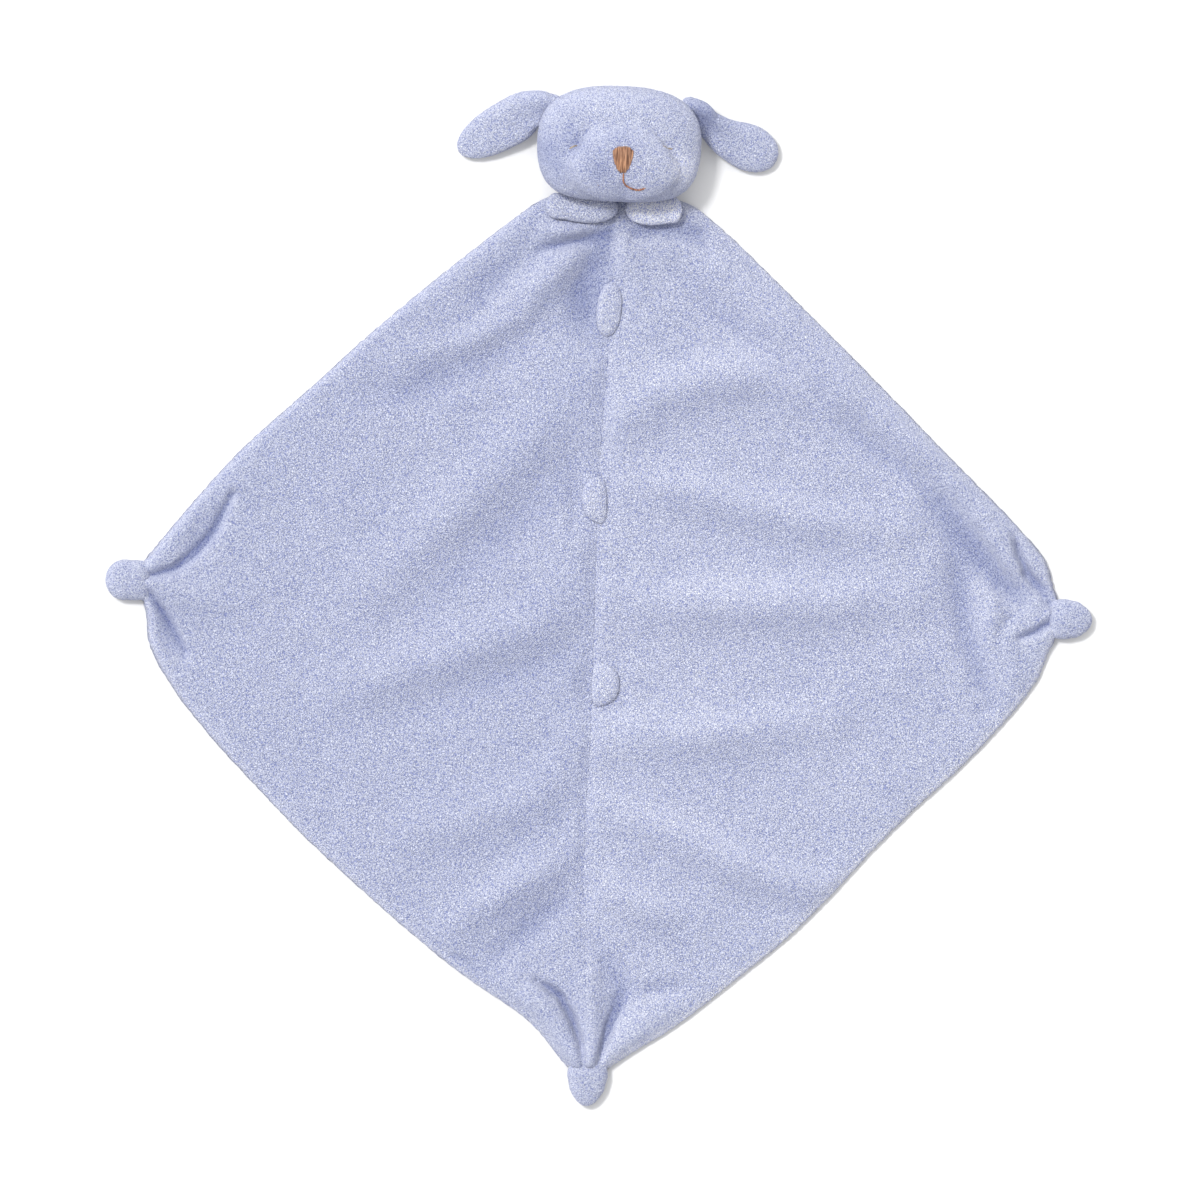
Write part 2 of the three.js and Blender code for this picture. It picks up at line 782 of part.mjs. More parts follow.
function earLimb(sign, length, shares) {
  const spin = THREE.MathUtils.degToRad(earRootSpin);
  const root = outlinePoint(sign, spin);
  const along = outlinePoint(sign, spin + earTurnStep).sub(outlinePoint(sign, spin - earTurnStep));
  const across = along.setZ(0).normalize();
  const outward = new THREE.Vector3(across.y, -across.x, 0).multiplyScalar(sign);
  root.addScaledVector(outward, earRootHalfThick + earClear);
  const points = [root];
  shares.forEach(([out, up], k) => {
    const settle = (k + 1) / shares.length;
    points.push(
      new THREE.Vector3(
        root.x + sign * out * length,
        root.y + up * length,
        lerp(root.z, earTipHeight, Math.sin((Math.PI / 2) * settle)),
      ),
    );
  });
  return {
    curve: new THREE.CatmullRomCurve3(points),
    rootAcross: outward.clone().cross(new THREE.Vector3(0, 0, -1)),
    rootHalfWidth: earRootHalfWidth,
    rootHalfThick: earRootHalfThick,
    halfWidth: earHalfWidth,
    halfThick: earHalfThick,
    swellStart: 0.1,
    tipStart: 0.5,
    taperShare: 0,
    roundPlan: false,
    floor: 0,
  };
}

function armLimb(sign, root, length) {
  const start = new THREE.Vector3(neckShift + sign * root, topReach - armDrop, armAxisHeight);
  const tip = start.clone().add(new THREE.Vector3(-sign * length, 0, 0));
  const middle = start.clone().lerp(tip, 0.5).add(new THREE.Vector3(0, armBow, 0));
  return {
    curve: new THREE.CatmullRomCurve3([start, middle, tip]),
    rootHalfWidth: armHalfWidth * 0.86,
    rootHalfThick: armHalfThick * 0.9,
    halfWidth: armHalfWidth,
    halfThick: armHalfThick,
    swellStart: 0.1,
    tipStart: 0.55,
    taperShare: 0,
    roundPlan: true,
    floor: clothTop + gap,
  };
}

function nubLimb(place, direction, length, taperShare) {
  const start = new THREE.Vector3(place.x, place.y, nubAxisHeight);
  const clear = nubRootHalfThick * seatShare + gap;
  start.addScaledVector(direction, clear);
  const tip = start.clone().addScaledVector(direction, length - clear);
  return {
    curve: new THREE.CatmullRomCurve3([start, start.clone().lerp(tip, 0.5), tip]),
    rootHalfWidth: nubRootHalfWidth,
    rootHalfThick: nubRootHalfThick,
    halfWidth: nubHalfWidth,
    halfThick: nubHalfThick,
    swellStart: 0.18,
    tipStart: 0.3,
    taperShare,
    roundPlan: false,
    floor: 0,
  };
}

// Tabs: a half-moon of doubled plush whose straighter edge is rounded about its sewn line
function tabGeometry(tab) {
  const around = 14;
  const half = tabThick / 2;
  const rings = [];
  for (let k = 0; k <= around; k++) {
    const share = k / around;
    const y = tab.length * (share - 0.5);
    const open = Math.sqrt(Math.max(Math.sin(Math.PI * clamp(share, 0.04, 0.96)), 0));
    const reach = tab.reach * lerp(0.35, 1, open);
    const root = tab.drawIn * (1 - open);
    const thick = half * lerp(0.45, 1, Math.sin(Math.PI * share));
    rings.push([
      new THREE.Vector3(root, y, -thick),
      new THREE.Vector3(reach - half, y, -thick),
      new THREE.Vector3(reach, y, 0),
      new THREE.Vector3(reach - half, y, thick),
      new THREE.Vector3(root, y, thick),
      new THREE.Vector3(root - thick * 0.7, y, thick * 0.7),
      new THREE.Vector3(root - thick, y, 0),
      new THREE.Vector3(root - thick * 0.7, y, -thick * 0.7),
    ]);
  }
  const count = rings[0].length;
  const points = rings.flat();
  const triangles = [];
  for (let r = 0; r < around; r++) ringBand(r * count, (r + 1) * count, count, triangles);
  const last = around * count;
  for (let k = 1; k + 1 < count; k++) {
    triangles.push([0, k + 1, k]);
    triangles.push([last, last + k, last + k + 1]);
  }
  return closedGeometry(points, triangles);
}

// Embroidery

// The point on the head's facets above a place on its face, lifted off the skin
const headSkin = new THREE.Mesh(headCover());
const ray = new THREE.Raycaster();
function facePoint(x, y, lift) {
  const above = headCentre.clone().add(new THREE.Vector3(x, y, 2 * headFaceDepth));
  ray.set(above, new THREE.Vector3(0, 0, -1));
  const hit = ray.intersectObject(headSkin)[0];
  return hit.point.clone().addScaledVector(hit.face.normal, lift);
}

// The nose: a shield of satin stitch, crowned in its middle, lying on the muzzle
function noseGeometry() {
  const rows = 9;
  const columns = 8;
  const top = [];
  const bottom = [];
  for (let r = 0; r <= rows; r++) {
    const s = r / rows;
    const narrowing = Math.sqrt(1.02 - Math.max(0, (s - 0.35) / 0.65) ** 2);
    const width = noseHalfWidth * Math.min(1, 0.72 + 2.2 * s) * narrowing;
    const topRow = [];
    const bottomRow = [];
    for (let c = 0; c <= columns; c++) {
      const t = (2 * c) / columns - 1;
      const crown = Math.sqrt((1.05 - t * t) * (1.05 - (2 * s - 1) ** 2));
      const x = faceTurn + width * t;
      const y = -noseDrop - noseHeight * s;
      bottomRow.push(facePoint(x, y, gap));
      topRow.push(facePoint(x, y, gap + noseThick * crown));
    }
    top.push(topRow);
    bottom.push(bottomRow);
  }
  return slabGeometry(top, bottom);
}

function threadGeometry(places, radius, steps) {
  const path = new THREE.CatmullRomCurve3(places.map(([x, y]) => new THREE.Vector3(x, y, 0)));
  const points = path.getPoints(steps).map((p) => facePoint(p.x, p.y, gap + radius));
  const curve = new THREE.CatmullRomCurve3(points);
  const ring = new THREE.Shape();
  ring.absarc(0, 0, radius, 0, 2 * Math.PI, false);
  const made = new THREE.ExtrudeGeometry(ring, {
    steps,
    curveSegments: 6,
    extrudePath: curve,
    bevelEnabled: false,
  });
  made.deleteAttribute("normal");
  made.deleteAttribute("uv");
  const merged = mergeVertices(made);
  merged.computeVertexNormals();
  return merged;
}

function mouthGeometry() {
  const top = -noseDrop - noseHeight - gap;
  const fork = top - philtrum;
  const places = [
    [faceTurn, top - 2 * mouthThread],
    [faceTurn + mouthThread, fork],
    [faceTurn + mouthReach * 0.3, fork - mouthDip * 0.72],
    [faceTurn + mouthReach * 0.68, fork - mouthDip],
    [faceTurn + mouthReach, fork - mouthDip * 0.66],
  ];
  return threadGeometry(places, mouthThread, 18);
}

function eyeGeometry(sign) {
  const middle = faceTurn + sign * eyeSpread;
  const places = [
    [middle - (sign * eyeLength) / 2, -eyeDrop + eyeSlope / 2],
    [middle, -eyeDrop + eyeSlope / 4],
    [middle + (sign * eyeLength) / 2, -eyeDrop - eyeSlope / 2],
  ];
  return threadGeometry(places, eyeThread, 8);
}

// Assembly

const part = new THREE.Group();

function addMesh(parent, name, geometry, colour, roughness) {
  const material = new THREE.MeshStandardMaterial({ color: colour, roughness, metalness: 0 });
  const mesh = new THREE.Mesh(geometry, material);
  mesh.name = name;
  parent.add(mesh);
  return mesh;
}

function addBlanket() {
  const blanket = new THREE.Group();
  addMesh(blanket, "blanket_back", notched(backPanel()), colours.lining, 0.95);
  addMesh(blanket, "blanket_front_left", notched(frontPanel(leftSide)), colours.plush, 0.95);
  addMesh(blanket, "blanket_front_right", notched(frontPanel(rightSide)), colours.plush, 0.95);
  part.add(blanket);
}

function addTab(name, tab, sign) {
  const mesh = addMesh(part, name, tabGeometry(tab), colours.plush, 0.9);
  mesh.position.set(-sign * tab.roll, topReach - tab.drop, clothTop + gap + tabThick / 2);
  mesh.rotation.y = sign < 0 ? Math.PI : 0;
}

function addLimb(name, limb) {
  addMesh(part, name + "_cover", limbCover(limb), colours.plush, 0.95);
  addMesh(part, name + "_fill", limbFill(limb), colours.fill, 1);
}

function addNub(name, place, direction, length, taperShare) {
  const limb = nubLimb(place, direction, length, taperShare);
  addLimb(name, limb);
  const clear = gap + threadRadius;
  const ring = ovalRing(nubRootHalfWidth + clear, nubRootHalfThick + clear, threadRadius);
  const tie = addMesh(part, name + "_tie", ring, colours.thread, 0.6);
  const start = limb.curve.getPoint(0).addScaledVector(direction, tieStation);
  tie.position.copy(start);
  tie.up.set(0, 0, 1);
  tie.lookAt(start.clone().add(direction));
}

function addHead() {
  addMesh(part, "head_cover", headCover(), colours.plush, 0.95);
  addMesh(part, "head_fill", headFill(), colours.fill, 1);
  addMesh(part, "nose_embroidery", noseGeometry(), colours.nose, 0.5);
  addMesh(part, "mouth_stitch", mouthGeometry(), colours.mouth, 0.5);
  addMesh(part, "eye_left_stitch", eyeGeometry(-1), colours.eye, 0.5);
  addMesh(part, "eye_right_stitch", eyeGeometry(1), colours.eye, 0.5);
}

function addNeck() {
  const gather = addMesh(part, "neck_gather", neckGather(), colours.plush, 0.95);
  gather.position.copy(neckPivot);
  const cuff = new THREE.Group();
  cuff.position.copy(neckPivot);
  cuff.quaternion.setFromUnitVectors(new THREE.Vector3(0, 1, 0), neckDirection.clone().negate());
  part.add(cuff);
  addMesh(cuff, "neck_cuff", neckCuff(), colours.plush, 0.95).position.y = cuffStart();
  const waist = cuffRadius * 0.8 + gap + threadRadius;
  const tie = addMesh(cuff, "neck_tie", ovalRing(waist, waist, threadRadius), colours.thread, 0.6);
  tie.position.y = cuffStart() + cuffLength() * 0.35;
  tie.rotation.x = Math.PI / 2;
}

addBlanket();
addTab("tab_upper", tabUpper, -1);
addTab("tab_middle", tabMiddle, -1);
addTab("tab_lower", tabLower, 1);
addNub("knot_left", knotPlaces[0], new THREE.Vector3(-1, 0, 0), nubLeftLength, nubLeftTaperShare);
addNub("knot_right", knotPlaces[1], new THREE.Vector3(1, 0, 0), nubRightLength, nubRightTaperShare);
addNub("knot_bottom", knotPlaces[2], new THREE.Vector3(0, -1, 0), nubBottomLength, nubBottomTaperShare);
addNeck();
addHead();
addLimb("ear_left", earLimb(-1, earLeftLength, earLeftShares));
addLimb("ear_right", earLimb(1, earRightLength, earRightShares));
addLimb("arm_left", armLimb(-1, armLeftRoot, armLeftLength));
addLimb("arm_right", armLimb(1, armRightRoot, armRightLength));

export default part;
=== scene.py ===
"""A plush comfort blanket with a puppy head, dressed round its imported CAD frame.

Shapes are worked out in millimetres in the row frame and written to meshes in metres.
"""

import json
import math

import bmesh
import bpy
import numpy as np
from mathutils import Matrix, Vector


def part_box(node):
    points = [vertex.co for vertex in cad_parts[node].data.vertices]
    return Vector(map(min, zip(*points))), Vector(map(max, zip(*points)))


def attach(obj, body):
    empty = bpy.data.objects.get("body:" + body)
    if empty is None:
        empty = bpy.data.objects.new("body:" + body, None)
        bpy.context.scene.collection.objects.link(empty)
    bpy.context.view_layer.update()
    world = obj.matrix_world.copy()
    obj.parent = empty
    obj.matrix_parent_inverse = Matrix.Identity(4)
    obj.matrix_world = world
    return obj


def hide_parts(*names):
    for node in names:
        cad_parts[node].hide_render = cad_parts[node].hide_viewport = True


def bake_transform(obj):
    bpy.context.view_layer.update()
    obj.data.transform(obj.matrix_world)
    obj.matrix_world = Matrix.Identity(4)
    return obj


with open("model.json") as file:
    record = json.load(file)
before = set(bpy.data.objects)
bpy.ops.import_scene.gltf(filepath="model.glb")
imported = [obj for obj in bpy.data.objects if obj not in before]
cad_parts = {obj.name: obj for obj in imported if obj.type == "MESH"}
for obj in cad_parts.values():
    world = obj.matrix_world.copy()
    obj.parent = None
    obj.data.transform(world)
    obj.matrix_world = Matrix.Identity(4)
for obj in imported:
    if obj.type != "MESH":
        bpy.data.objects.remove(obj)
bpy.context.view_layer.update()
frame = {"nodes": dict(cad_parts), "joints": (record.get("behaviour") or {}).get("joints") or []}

MM = 0.001
TAU = 2 * math.pi


# Places taken from the frame, in millimetres

def node_box(name):
    low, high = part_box(name)
    return np.array(low) / MM, np.array(high) / MM


def joint_point(name):
    joint = next(j for j in frame["joints"] if j["name"] == name)
    return np.array(joint["pos_m"]) / MM


FRONT_LOW, FRONT_HIGH = node_box("blanket_front_left")
NECK_PIVOT = joint_point("neck_sway")
HEAD_TOP = node_box("head_cover")[1][1]
TOP_REACH = FRONT_HIGH[1]
KNOT_LEFT_REACH = -FRONT_LOW[0]
KNOT_RIGHT_REACH = node_box("blanket_front_right")[1][0]
KNOT_BOTTOM_REACH = -FRONT_LOW[1]
CLOTH_TOP = 2 * NECK_PIVOT[2]
BACK_TOP = 3.0
GAP = 0.3

# Blanket outline, close to the solids'. Each edge bows out by shares of its bulge, from its top down.
# The painted shading has a strength for slopes in shade and in light, the painted pale rim a tone above and
# below, and each half one tone over all, the left darker.
KNOT_LEFT_DROP = 1.0
KNOT_RIGHT_DROP = 2.7
KNOT_BOTTOM_SHIFT = 4.2
GATHER_HALF = 10.0
TOP_HALF_WIDTH = 36.0
HEAD_SHIFT = 2.2
UPPER_BULGE = 12.0
SHOULDER = 7.0
SIDES = {
    "left": {
        "sign": -1, "reach": KNOT_LEFT_REACH, "drop": KNOT_LEFT_DROP,
        "top": TOP_HALF_WIDTH - HEAD_SHIFT, "bottom": GATHER_HALF - KNOT_BOTTOM_SHIFT,
        "upper": [0, 0.32, 0.6, 0.8, 0.92, 0.9, 0.95, 0.96, 0.72, 0.36, 0],
        "lower": [0, 0.6, 0.9, 1, 1, 0.96, 0.83, 0.65, 0.38, -0.06, 0],
        "lower_bulge": 29.0, "painted_shading": (0.8, 0.6), "rim": (0.6, 1.0), "tone": -0.25,
    },
    "right": {
        "sign": 1, "reach": KNOT_RIGHT_REACH, "drop": KNOT_RIGHT_DROP,
        "top": TOP_HALF_WIDTH + HEAD_SHIFT, "bottom": GATHER_HALF + KNOT_BOTTOM_SHIFT,
        "upper": [0, 0.35, 0.52, 0.66, 0.78, 0.87, 0.95, 1.05, 1.14, 1.0, 0],
        "lower": [0, 0.6, 0.85, 0.92, 0.86, 0.9, 1.03, 1.03, 0.82, 0.55, 0],
        "lower_bulge": 20.0, "painted_shading": (0.7, 1.7), "rim": (1.0, 2.0), "tone": 0.0,
    },
}
FOLD_SPAN = 235.0
# How far the front stands off on its own, and where and how softly its hollows level out
PUFF = 1.6
SOFT_FLOOR = 2.0
HOLLOW = 3.0
# Each fold: height, half width, and its path in shares of the span. A valley has a height below zero.
FOLDS = [
    # Right of the seam, from the top down
    (7.5, 13, [(0.01, 0.36), (0.1, 0.44), (0.23, 0.48), (0.35, 0.49), (0.49, 0.43)]),
    (6.0, 11, [(0.04, 0.25), (0.21, 0.23), (0.43, 0.18), (0.65, 0.17)]),
    (7.5, 13, [(0.01, -0.01), (0.27, -0.01), (0.48, 0), (0.68, 0.03)]),
    (6.0, 12, [(0.01, -0.31), (0.19, -0.3), (0.34, -0.28), (0.5, -0.25)]),
    (6.5, 10, [(0.02, -0.45), (0.15, -0.5), (0.29, -0.56), (0.44, -0.61), (0.52, -0.62)]),
    (5.0, 9, [(0.01, -0.62), (0.12, -0.67), (0.23, -0.71)]),
    (5.0, 11, [(0.22, 0.73), (0.42, 0.56), (0.64, 0.37), (0.8, 0.24), (0.91, 0.12)]),
    (-4.0, 8, [(0.15, 0.71), (0.31, 0.57), (0.51, 0.4), (0.69, 0.28), (0.78, 0.17), (0.9, 0.05)]),
    # Left of the seam, from the top down
    (4.0, 7, [(-0.09, 0.72), (-0.19, 0.6), (-0.3, 0.54), (-0.4, 0.52)]),
    (-3.0, 9, [(-0.17, 0.73), (-0.25, 0.67), (-0.3, 0.6)]),
    (-2.5, 10, [(-0.14, 0.57), (-0.27, 0.5), (-0.45, 0.42), (-0.58, 0.41)]),
    (5.5, 15, [(-0.04, 0.47), (-0.22, 0.27), (-0.35, 0.14), (-0.48, 0.01)]),
    (-2.5, 14, [(-0.03, 0.33), (-0.15, 0.2), (-0.29, 0.06), (-0.43, -0.07)]),
    (5.5, 13, [(-0.04, 0.1), (-0.11, -0.06), (-0.25, -0.11), (-0.42, -0.18), (-0.58, -0.25)]),
    (-2.5, 12, [(-0.03, -0.03), (-0.08, -0.13), (-0.22, -0.19), (-0.42, -0.27)]),
    (4.5, 12, [(-0.04, -0.34), (-0.13, -0.45), (-0.26, -0.5), (-0.41, -0.54)]),
    (5.5, 9, [(-0.03, -0.56), (-0.16, -0.64), (-0.29, -0.73)]),
    (-3.0, 8, [(-0.01, -0.63), (-0.1, -0.71), (-0.22, -0.81)]),
    # Beside the seam below the paws
    (-6.0, 10, [(0.0, 0.84), (-0.01, 0.79), (-0.03, 0.73), (-0.05, 0.68), (-0.054, 0.608), (-0.02, 0.55)]),
    (5.0, 9, [(-0.046, 0.753), (-0.095, 0.719), (-0.163, 0.673), (-0.217, 0.627)]),
    (6.5, 4.2, [(-0.14, 0.79), (-0.075, 0.79), (-0.02, 0.805)]),
    (-6.0, 3.6, [(-0.15, 0.745), (-0.115, 0.756), (-0.054, 0.777), (-0.01, 0.785)]),
    (-6.0, 6, [(0.04, 0.8), (0.053, 0.794), (0.109, 0.803), (0.185, 0.787), (0.21, 0.75)]),
    (3.0, 7, [(0.02, 0.83), (0.025, 0.75), (0.05, 0.66)]),
    # Left corner: lobes, hollows and the creases between them, sharper than in the solids
    (3.5, 8, [(-0.96, 0.04), (-0.89, 0.12), (-0.8, 0.22)]),
    (-8.0, 2.5, [(-1.04, 0), (-0.96, 0.01), (-0.919, 0.023), (-0.874, 0.062), (-0.835, 0.11), (-0.8, 0.19)]),
    (-3.5, 8, [(-0.93, 0.045), (-0.885, 0.095), (-0.845, 0.15), (-0.825, 0.22)]),
    (3.0, 8, [(-0.96, -0.01), (-0.9, -0.03), (-0.82, -0.05)]),
    (-8.0, 2.3, [(-1.03, 0), (-0.971, -0.034), (-0.944, -0.068), (-0.919, -0.108), (-0.89, -0.155)]),
    (-3.5, 6, [(-0.965, -0.085), (-0.94, -0.125), (-0.905, -0.17)]),
    (3.5, 5, [(-0.98, -0.07), (-0.96, -0.13), (-0.91, -0.21)]),
    # Right corner
    (-14.0, 2.3, [(1.06, -0.05), (1.005, -0.01), (0.99, 0.02), (0.974, 0.04), (0.95, 0.062), (0.928, 0.082)]),
    (-8.0, 2.2, [(0.945, 0.06), (0.912, 0.12), (0.897, 0.165)]),
    (4.0, 5, [(0.825, 0.2), (0.875, 0.125), (0.904, 0.075), (0.95, 0.022)]),
    (-6.0, 7.5, [(0.739, 0.226), (0.784, 0.17), (0.828, 0.11), (0.87, 0.065), (0.915, 0.038), (0.96, 0.02)]),
    (-9.0, 1.9, [(1.04, 0.01), (1.01, -0.005), (0.977, -0.025), (0.946, -0.045), (0.92, -0.055)]),
    (-5.0, 6, [(0.765, 0.15), (0.78, 0.06), (0.804, -0.05), (0.83, -0.13), (0.858, -0.205)]),
    (3.5, 5, [(0.84, 0.08), (0.865, -0.03), (0.91, -0.13)]),
    (-3.0, 3.5, [(0.9, -0.01), (0.873, -0.045), (0.878, -0.08), (0.895, -0.12)]),
    # Bottom corner
    (5.5, 7.5, [(-0.14, -0.84), (-0.106, -0.868), (-0.051, -0.941), (-0.008, -1.009), (0.0, -1.04)]),
    (-8.0, 2.4, [(-0.1, -0.84), (-0.08, -0.85), (-0.048, -0.871), (-0.02, -0.92), (0, -0.97), (0.01, -1.03)]),
    (4.5, 6, [(0.0, -0.8), (0.008, -0.823), (0.023, -0.921), (0.026, -1.002), (0.02, -1.03)]),
    (-4.5, 6.5, [(0.03, -0.765), (0.06, -0.81), (0.085, -0.85), (0.08, -0.9), (0.06, -0.93)]),
    (-8.0, 2.4, [(0.084, -0.86), (0.078, -0.89), (0.064, -0.925), (0.049, -0.978), (0.036, -1.03)]),
    (3.0, 8, [(0.2, -0.88), (0.128, -0.934), (0.084, -0.994), (0.06, -1.03)]),
    (-2.5, 5, [(0.13, -0.86), (0.147, -0.852), (0.206, -0.844), (0.22, -0.84)]),
    # Turned hem on the lower left edge
    (-2.0, 2.2, [(-0.37, -0.72), (-0.3, -0.79), (-0.26, -0.8), (-0.22, -0.83)]),
]
SEAM_DRIFT = [
    0, 2.4, 2.2, 1.0, 0, -0.8, -1.5, -1.6, -1.4, -0.9, -0.5, -0.6, -1.2, -1.8, -1.6, -0.4, 1.2, 2.8, 3.6,
]
KNOTS = {
    "left": np.array([-KNOT_LEFT_REACH, -KNOT_LEFT_DROP]),
    "right": np.array([KNOT_RIGHT_REACH, -KNOT_RIGHT_DROP]),
    "bottom": np.array([KNOT_BOTTOM_SHIFT, -KNOT_BOTTOM_REACH]),
}
# Each tab as it lies: the height of its middle, its length, and how far left and right it shows
TAB_PLACES = {
    "upper": (146.0, 27.0, -5.8, 6.2), "middle": (49.0, 23.5, -9.6, 2.6), "lower": (-45.0, 22.0, -1.0, 12.6),
}


# Noise on points, the same on every run

def smoothstep(t):
    t = np.clip(t, 0, 1)
    return t * t * (3 - 2 * t)


def lattice(cells, seed):
    """A number from 0 to 1 for each whole cell."""
    c = cells.astype(np.int64)
    h = c[..., 0] * 374761393 + c[..., 1] * 668265263 + c[..., 2] * 2147483647 + seed * 1274126177
    h = (h ^ (h >> 13)) * 1103515245
    h = (h ^ (h >> 16)) & 0xFFFFFF
    return h / float(0xFFFFFF)


def noise(points, size, seed):
    """Smooth noise from -1 to 1 whose lumps are about this size."""
    p = points / size
    base = np.floor(p)
    f = smoothstep(p - base)
    total = 0
    for corner in np.ndindex(2, 2, 2):
        corner = np.array(corner)
        weight = np.prod(np.where(corner, f, 1 - f), axis=-1)
        total = total + weight * lattice(base + corner, seed)
    return 2 * total - 1


def tufts(points, size, seed):
    """Round bumps from 0 to 1, one in each cell of about this size."""
    p = points / size
    base = np.floor(p)
    nearest = np.full(len(p), 9.0)
    for step in np.ndindex(3, 3, 3):
        cell = base + np.array(step) - 1
        centre = np.stack([lattice(cell, seed + k) for k in range(3)], axis=-1)
        nearest = np.minimum(nearest, ((cell + centre - p) ** 2).sum(axis=-1))
    return np.clip(1 - nearest, 0, 1)


def xyz(x, y, z):
    return np.stack([x, y, z], axis=-1)


def unit(rows):
    return rows / np.linalg.norm(rows, axis=1)[:, None]


def ring_angles(count):
    """Evenly spaced angles round a ring."""
    return TAU * np.arange(count) / count


# Meshes

def add_object(name, data):
    made = bpy.data.objects.new(name, data)
    bpy.context.scene.collection.objects.link(made)
    return made


def make_piece(name, points, faces, body):
    """A mesh object from points in millimetres, riding on a body."""
    mesh = bpy.data.meshes.new(name)
    mesh.from_pydata((np.asarray(points, float) * MM).tolist(), [], faces)
    mesh.validate()
    mesh.shade_smooth()
    piece = add_object(name, mesh)
    if body:
        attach(piece, body)
    return piece


def read_vectors(rows, name):
    flat = np.empty(len(rows) * 3, np.float32)
    rows.foreach_get(name, flat)
    return flat.reshape(-1, 3).astype(float)


def coordinates(mesh):
    return read_vectors(mesh.vertices, "co") / MM


# Height and size of the large tufts, the small ones and the slow swell under them
LARGE_TUFT, SMALL_TUFT, SWELL = (0.34, 1.9), (0.22, 1.2), (0.05, 5.0)


def raise_pile(piece, depth, seed, floor, hold=1):
    """Moves the surface out into short tufted pile. hold is a share of the depth for each point."""
    points = coordinates(piece.data)
    pile = LARGE_TUFT[0] * tufts(points, LARGE_TUFT[1], seed)
    pile = pile + SMALL_TUFT[0] * tufts(points, SMALL_TUFT[1], seed + 7)
    pile += SWELL[0] * noise(points, SWELL[1], seed + 3)
    pile *= depth * hold
    points += read_vectors(piece.data.vertex_normals, "vector") * pile[:, None]
    points[:, 2] = np.maximum(points[:, 2], floor)
    piece.data.vertices.foreach_set("co", (points * MM).astype(np.float32).ravel())
    piece.data.update()


def stands_for(piece, slot, *nodes, fill=None):
    """Hides the nodes a piece replaces. slot is not used. fill is not used."""
    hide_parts(*nodes)
    return piece


def face_outwards(piece):
    """Turns the faces round if the closed mesh holds a negative volume."""
    mesh = piece.data
    mesh.calc_loop_triangles()
    corners = np.empty(len(mesh.loop_triangles) * 3, np.int32)
    mesh.loop_triangles.foreach_get("vertices", corners)
    a, b, c = coordinates(mesh)[corners.reshape(-1, 3)].transpose(1, 0, 2)
    if (a * np.cross(b, c)).sum() < 0:
        mesh.flip_normals()


def ring_faces(rings, count):
    """Four-sided faces between rings of points that follow each other."""
    faces = []
    for r in range(rings - 1):
        for k in range(count):
            n = (k + 1) % count
            a, b = r * count, (r + 1) * count
            faces.append((a + k, a + n, b + n, b + k))
    return faces


def closed_rings(rings, start, end):
    """Points and faces of a surface through rings, closed at both ends on a point."""
    count = len(rings[0])
    points = np.concatenate([*rings, [start], [end]])
    faces = ring_faces(len(rings), count)
    last = (len(rings) - 1) * count
    for k in range(count):
        n = (k + 1) % count
        faces.append((n, k, len(points) - 2))
        faces.append((last + k, last + n, len(points) - 1))
    return points, faces


def ring_piece(name, body, rings, start, end):
    """A closed piece through rings of points, its faces outwards."""
    piece = make_piece(name, *closed_rings(rings, start, end), body)
    face_outwards(piece)
    return piece


# Blanket

def spline(a, b, c, d, t):
    """A smooth line's value between b and c, from its four neighbouring knots."""
    return b + 0.5 * t * (c - a + t * (2 * a - 5 * b + 4 * c - d + t * (3 * b - a - 3 * c + d)))


def shares_at(shares, s):
    place = np.clip(s, 0, 1) * (len(shares) - 1)
    low = np.minimum(np.floor(place).astype(int), len(shares) - 2)
    t = place - low
    shares = np.array(shares, float)
    last = len(shares) - 1
    a, b = shares[np.maximum(low - 1, 0)], shares[low]
    c, d = shares[low + 1], shares[np.minimum(low + 2, last)]
    return spline(a, b, c, d, t)


def side_width(side, y):
    """The blanket's half width on one side of the seam at each height y."""
    upper_end, lower_start = GATHER_HALF - side["drop"], -GATHER_HALF - side["drop"]
    s = (TOP_REACH - y) / (TOP_REACH - upper_end)
    upper = side["top"] + (side["reach"] - side["top"]) * s + UPPER_BULGE * shares_at(side["upper"], s)
    s = (lower_start - y) / (lower_start + KNOT_BOTTOM_REACH)
    lower = side["reach"] + (side["bottom"] - side["reach"]) * s
    lower += side["lower_bulge"] * shares_at(side["lower"], s)
    high = np.clip((y - TOP_REACH + SHOULDER) / SHOULDER, 0, 1)
    upper -= SHOULDER * (1 - np.sqrt(1 - high ** 2))
    return np.where(y > upper_end, upper, np.where(y < lower_start, lower, side["reach"]))


def along_path(path, x, y):
    """Distance from each point to a fold's path, and how far along the path it falls."""
    best = np.full(x.shape, np.inf)
    station = np.zeros(x.shape)
    path = np.array(path, float) * FOLD_SPAN
    for k in range(len(path) - 1):
        a, b = path[k], path[k + 1]
        d = b - a
        t = np.clip(((x - a[0]) * d[0] + (y - a[1]) * d[1]) / (d @ d), 0, 1)
        far = np.hypot(x - a[0] - t * d[0], y - a[1] - t * d[1])
        near = far < best
        best = np.where(near, far, best)
        station = np.where(near, (k + t) / (len(path) - 1), station)
    return best, station


def bell(share):
    return np.exp(-share * share)


def seam_place(y):
    """How far the centre seam wanders sideways at each height y."""
    return shares_at(SEAM_DRIFT, (TOP_REACH - y) / (TOP_REACH + KNOT_BOTTOM_REACH))


def folded(x, y):
    """The folds alone, with hollows that level out softly."""
    height = np.zeros(x.shape)
    for rise, width, path in FOLDS:
        far, station = along_path(path, x, y)
        fade = np.sqrt(np.sin(np.pi * np.clip(station, 0.06, 0.94)))
        height += rise * bell(far / width) * fade
    below = np.minimum(height + SOFT_FLOOR, 0)
    return np.maximum(height, -SOFT_FLOOR) - HOLLOW * (1 - np.exp(below / HOLLOW))


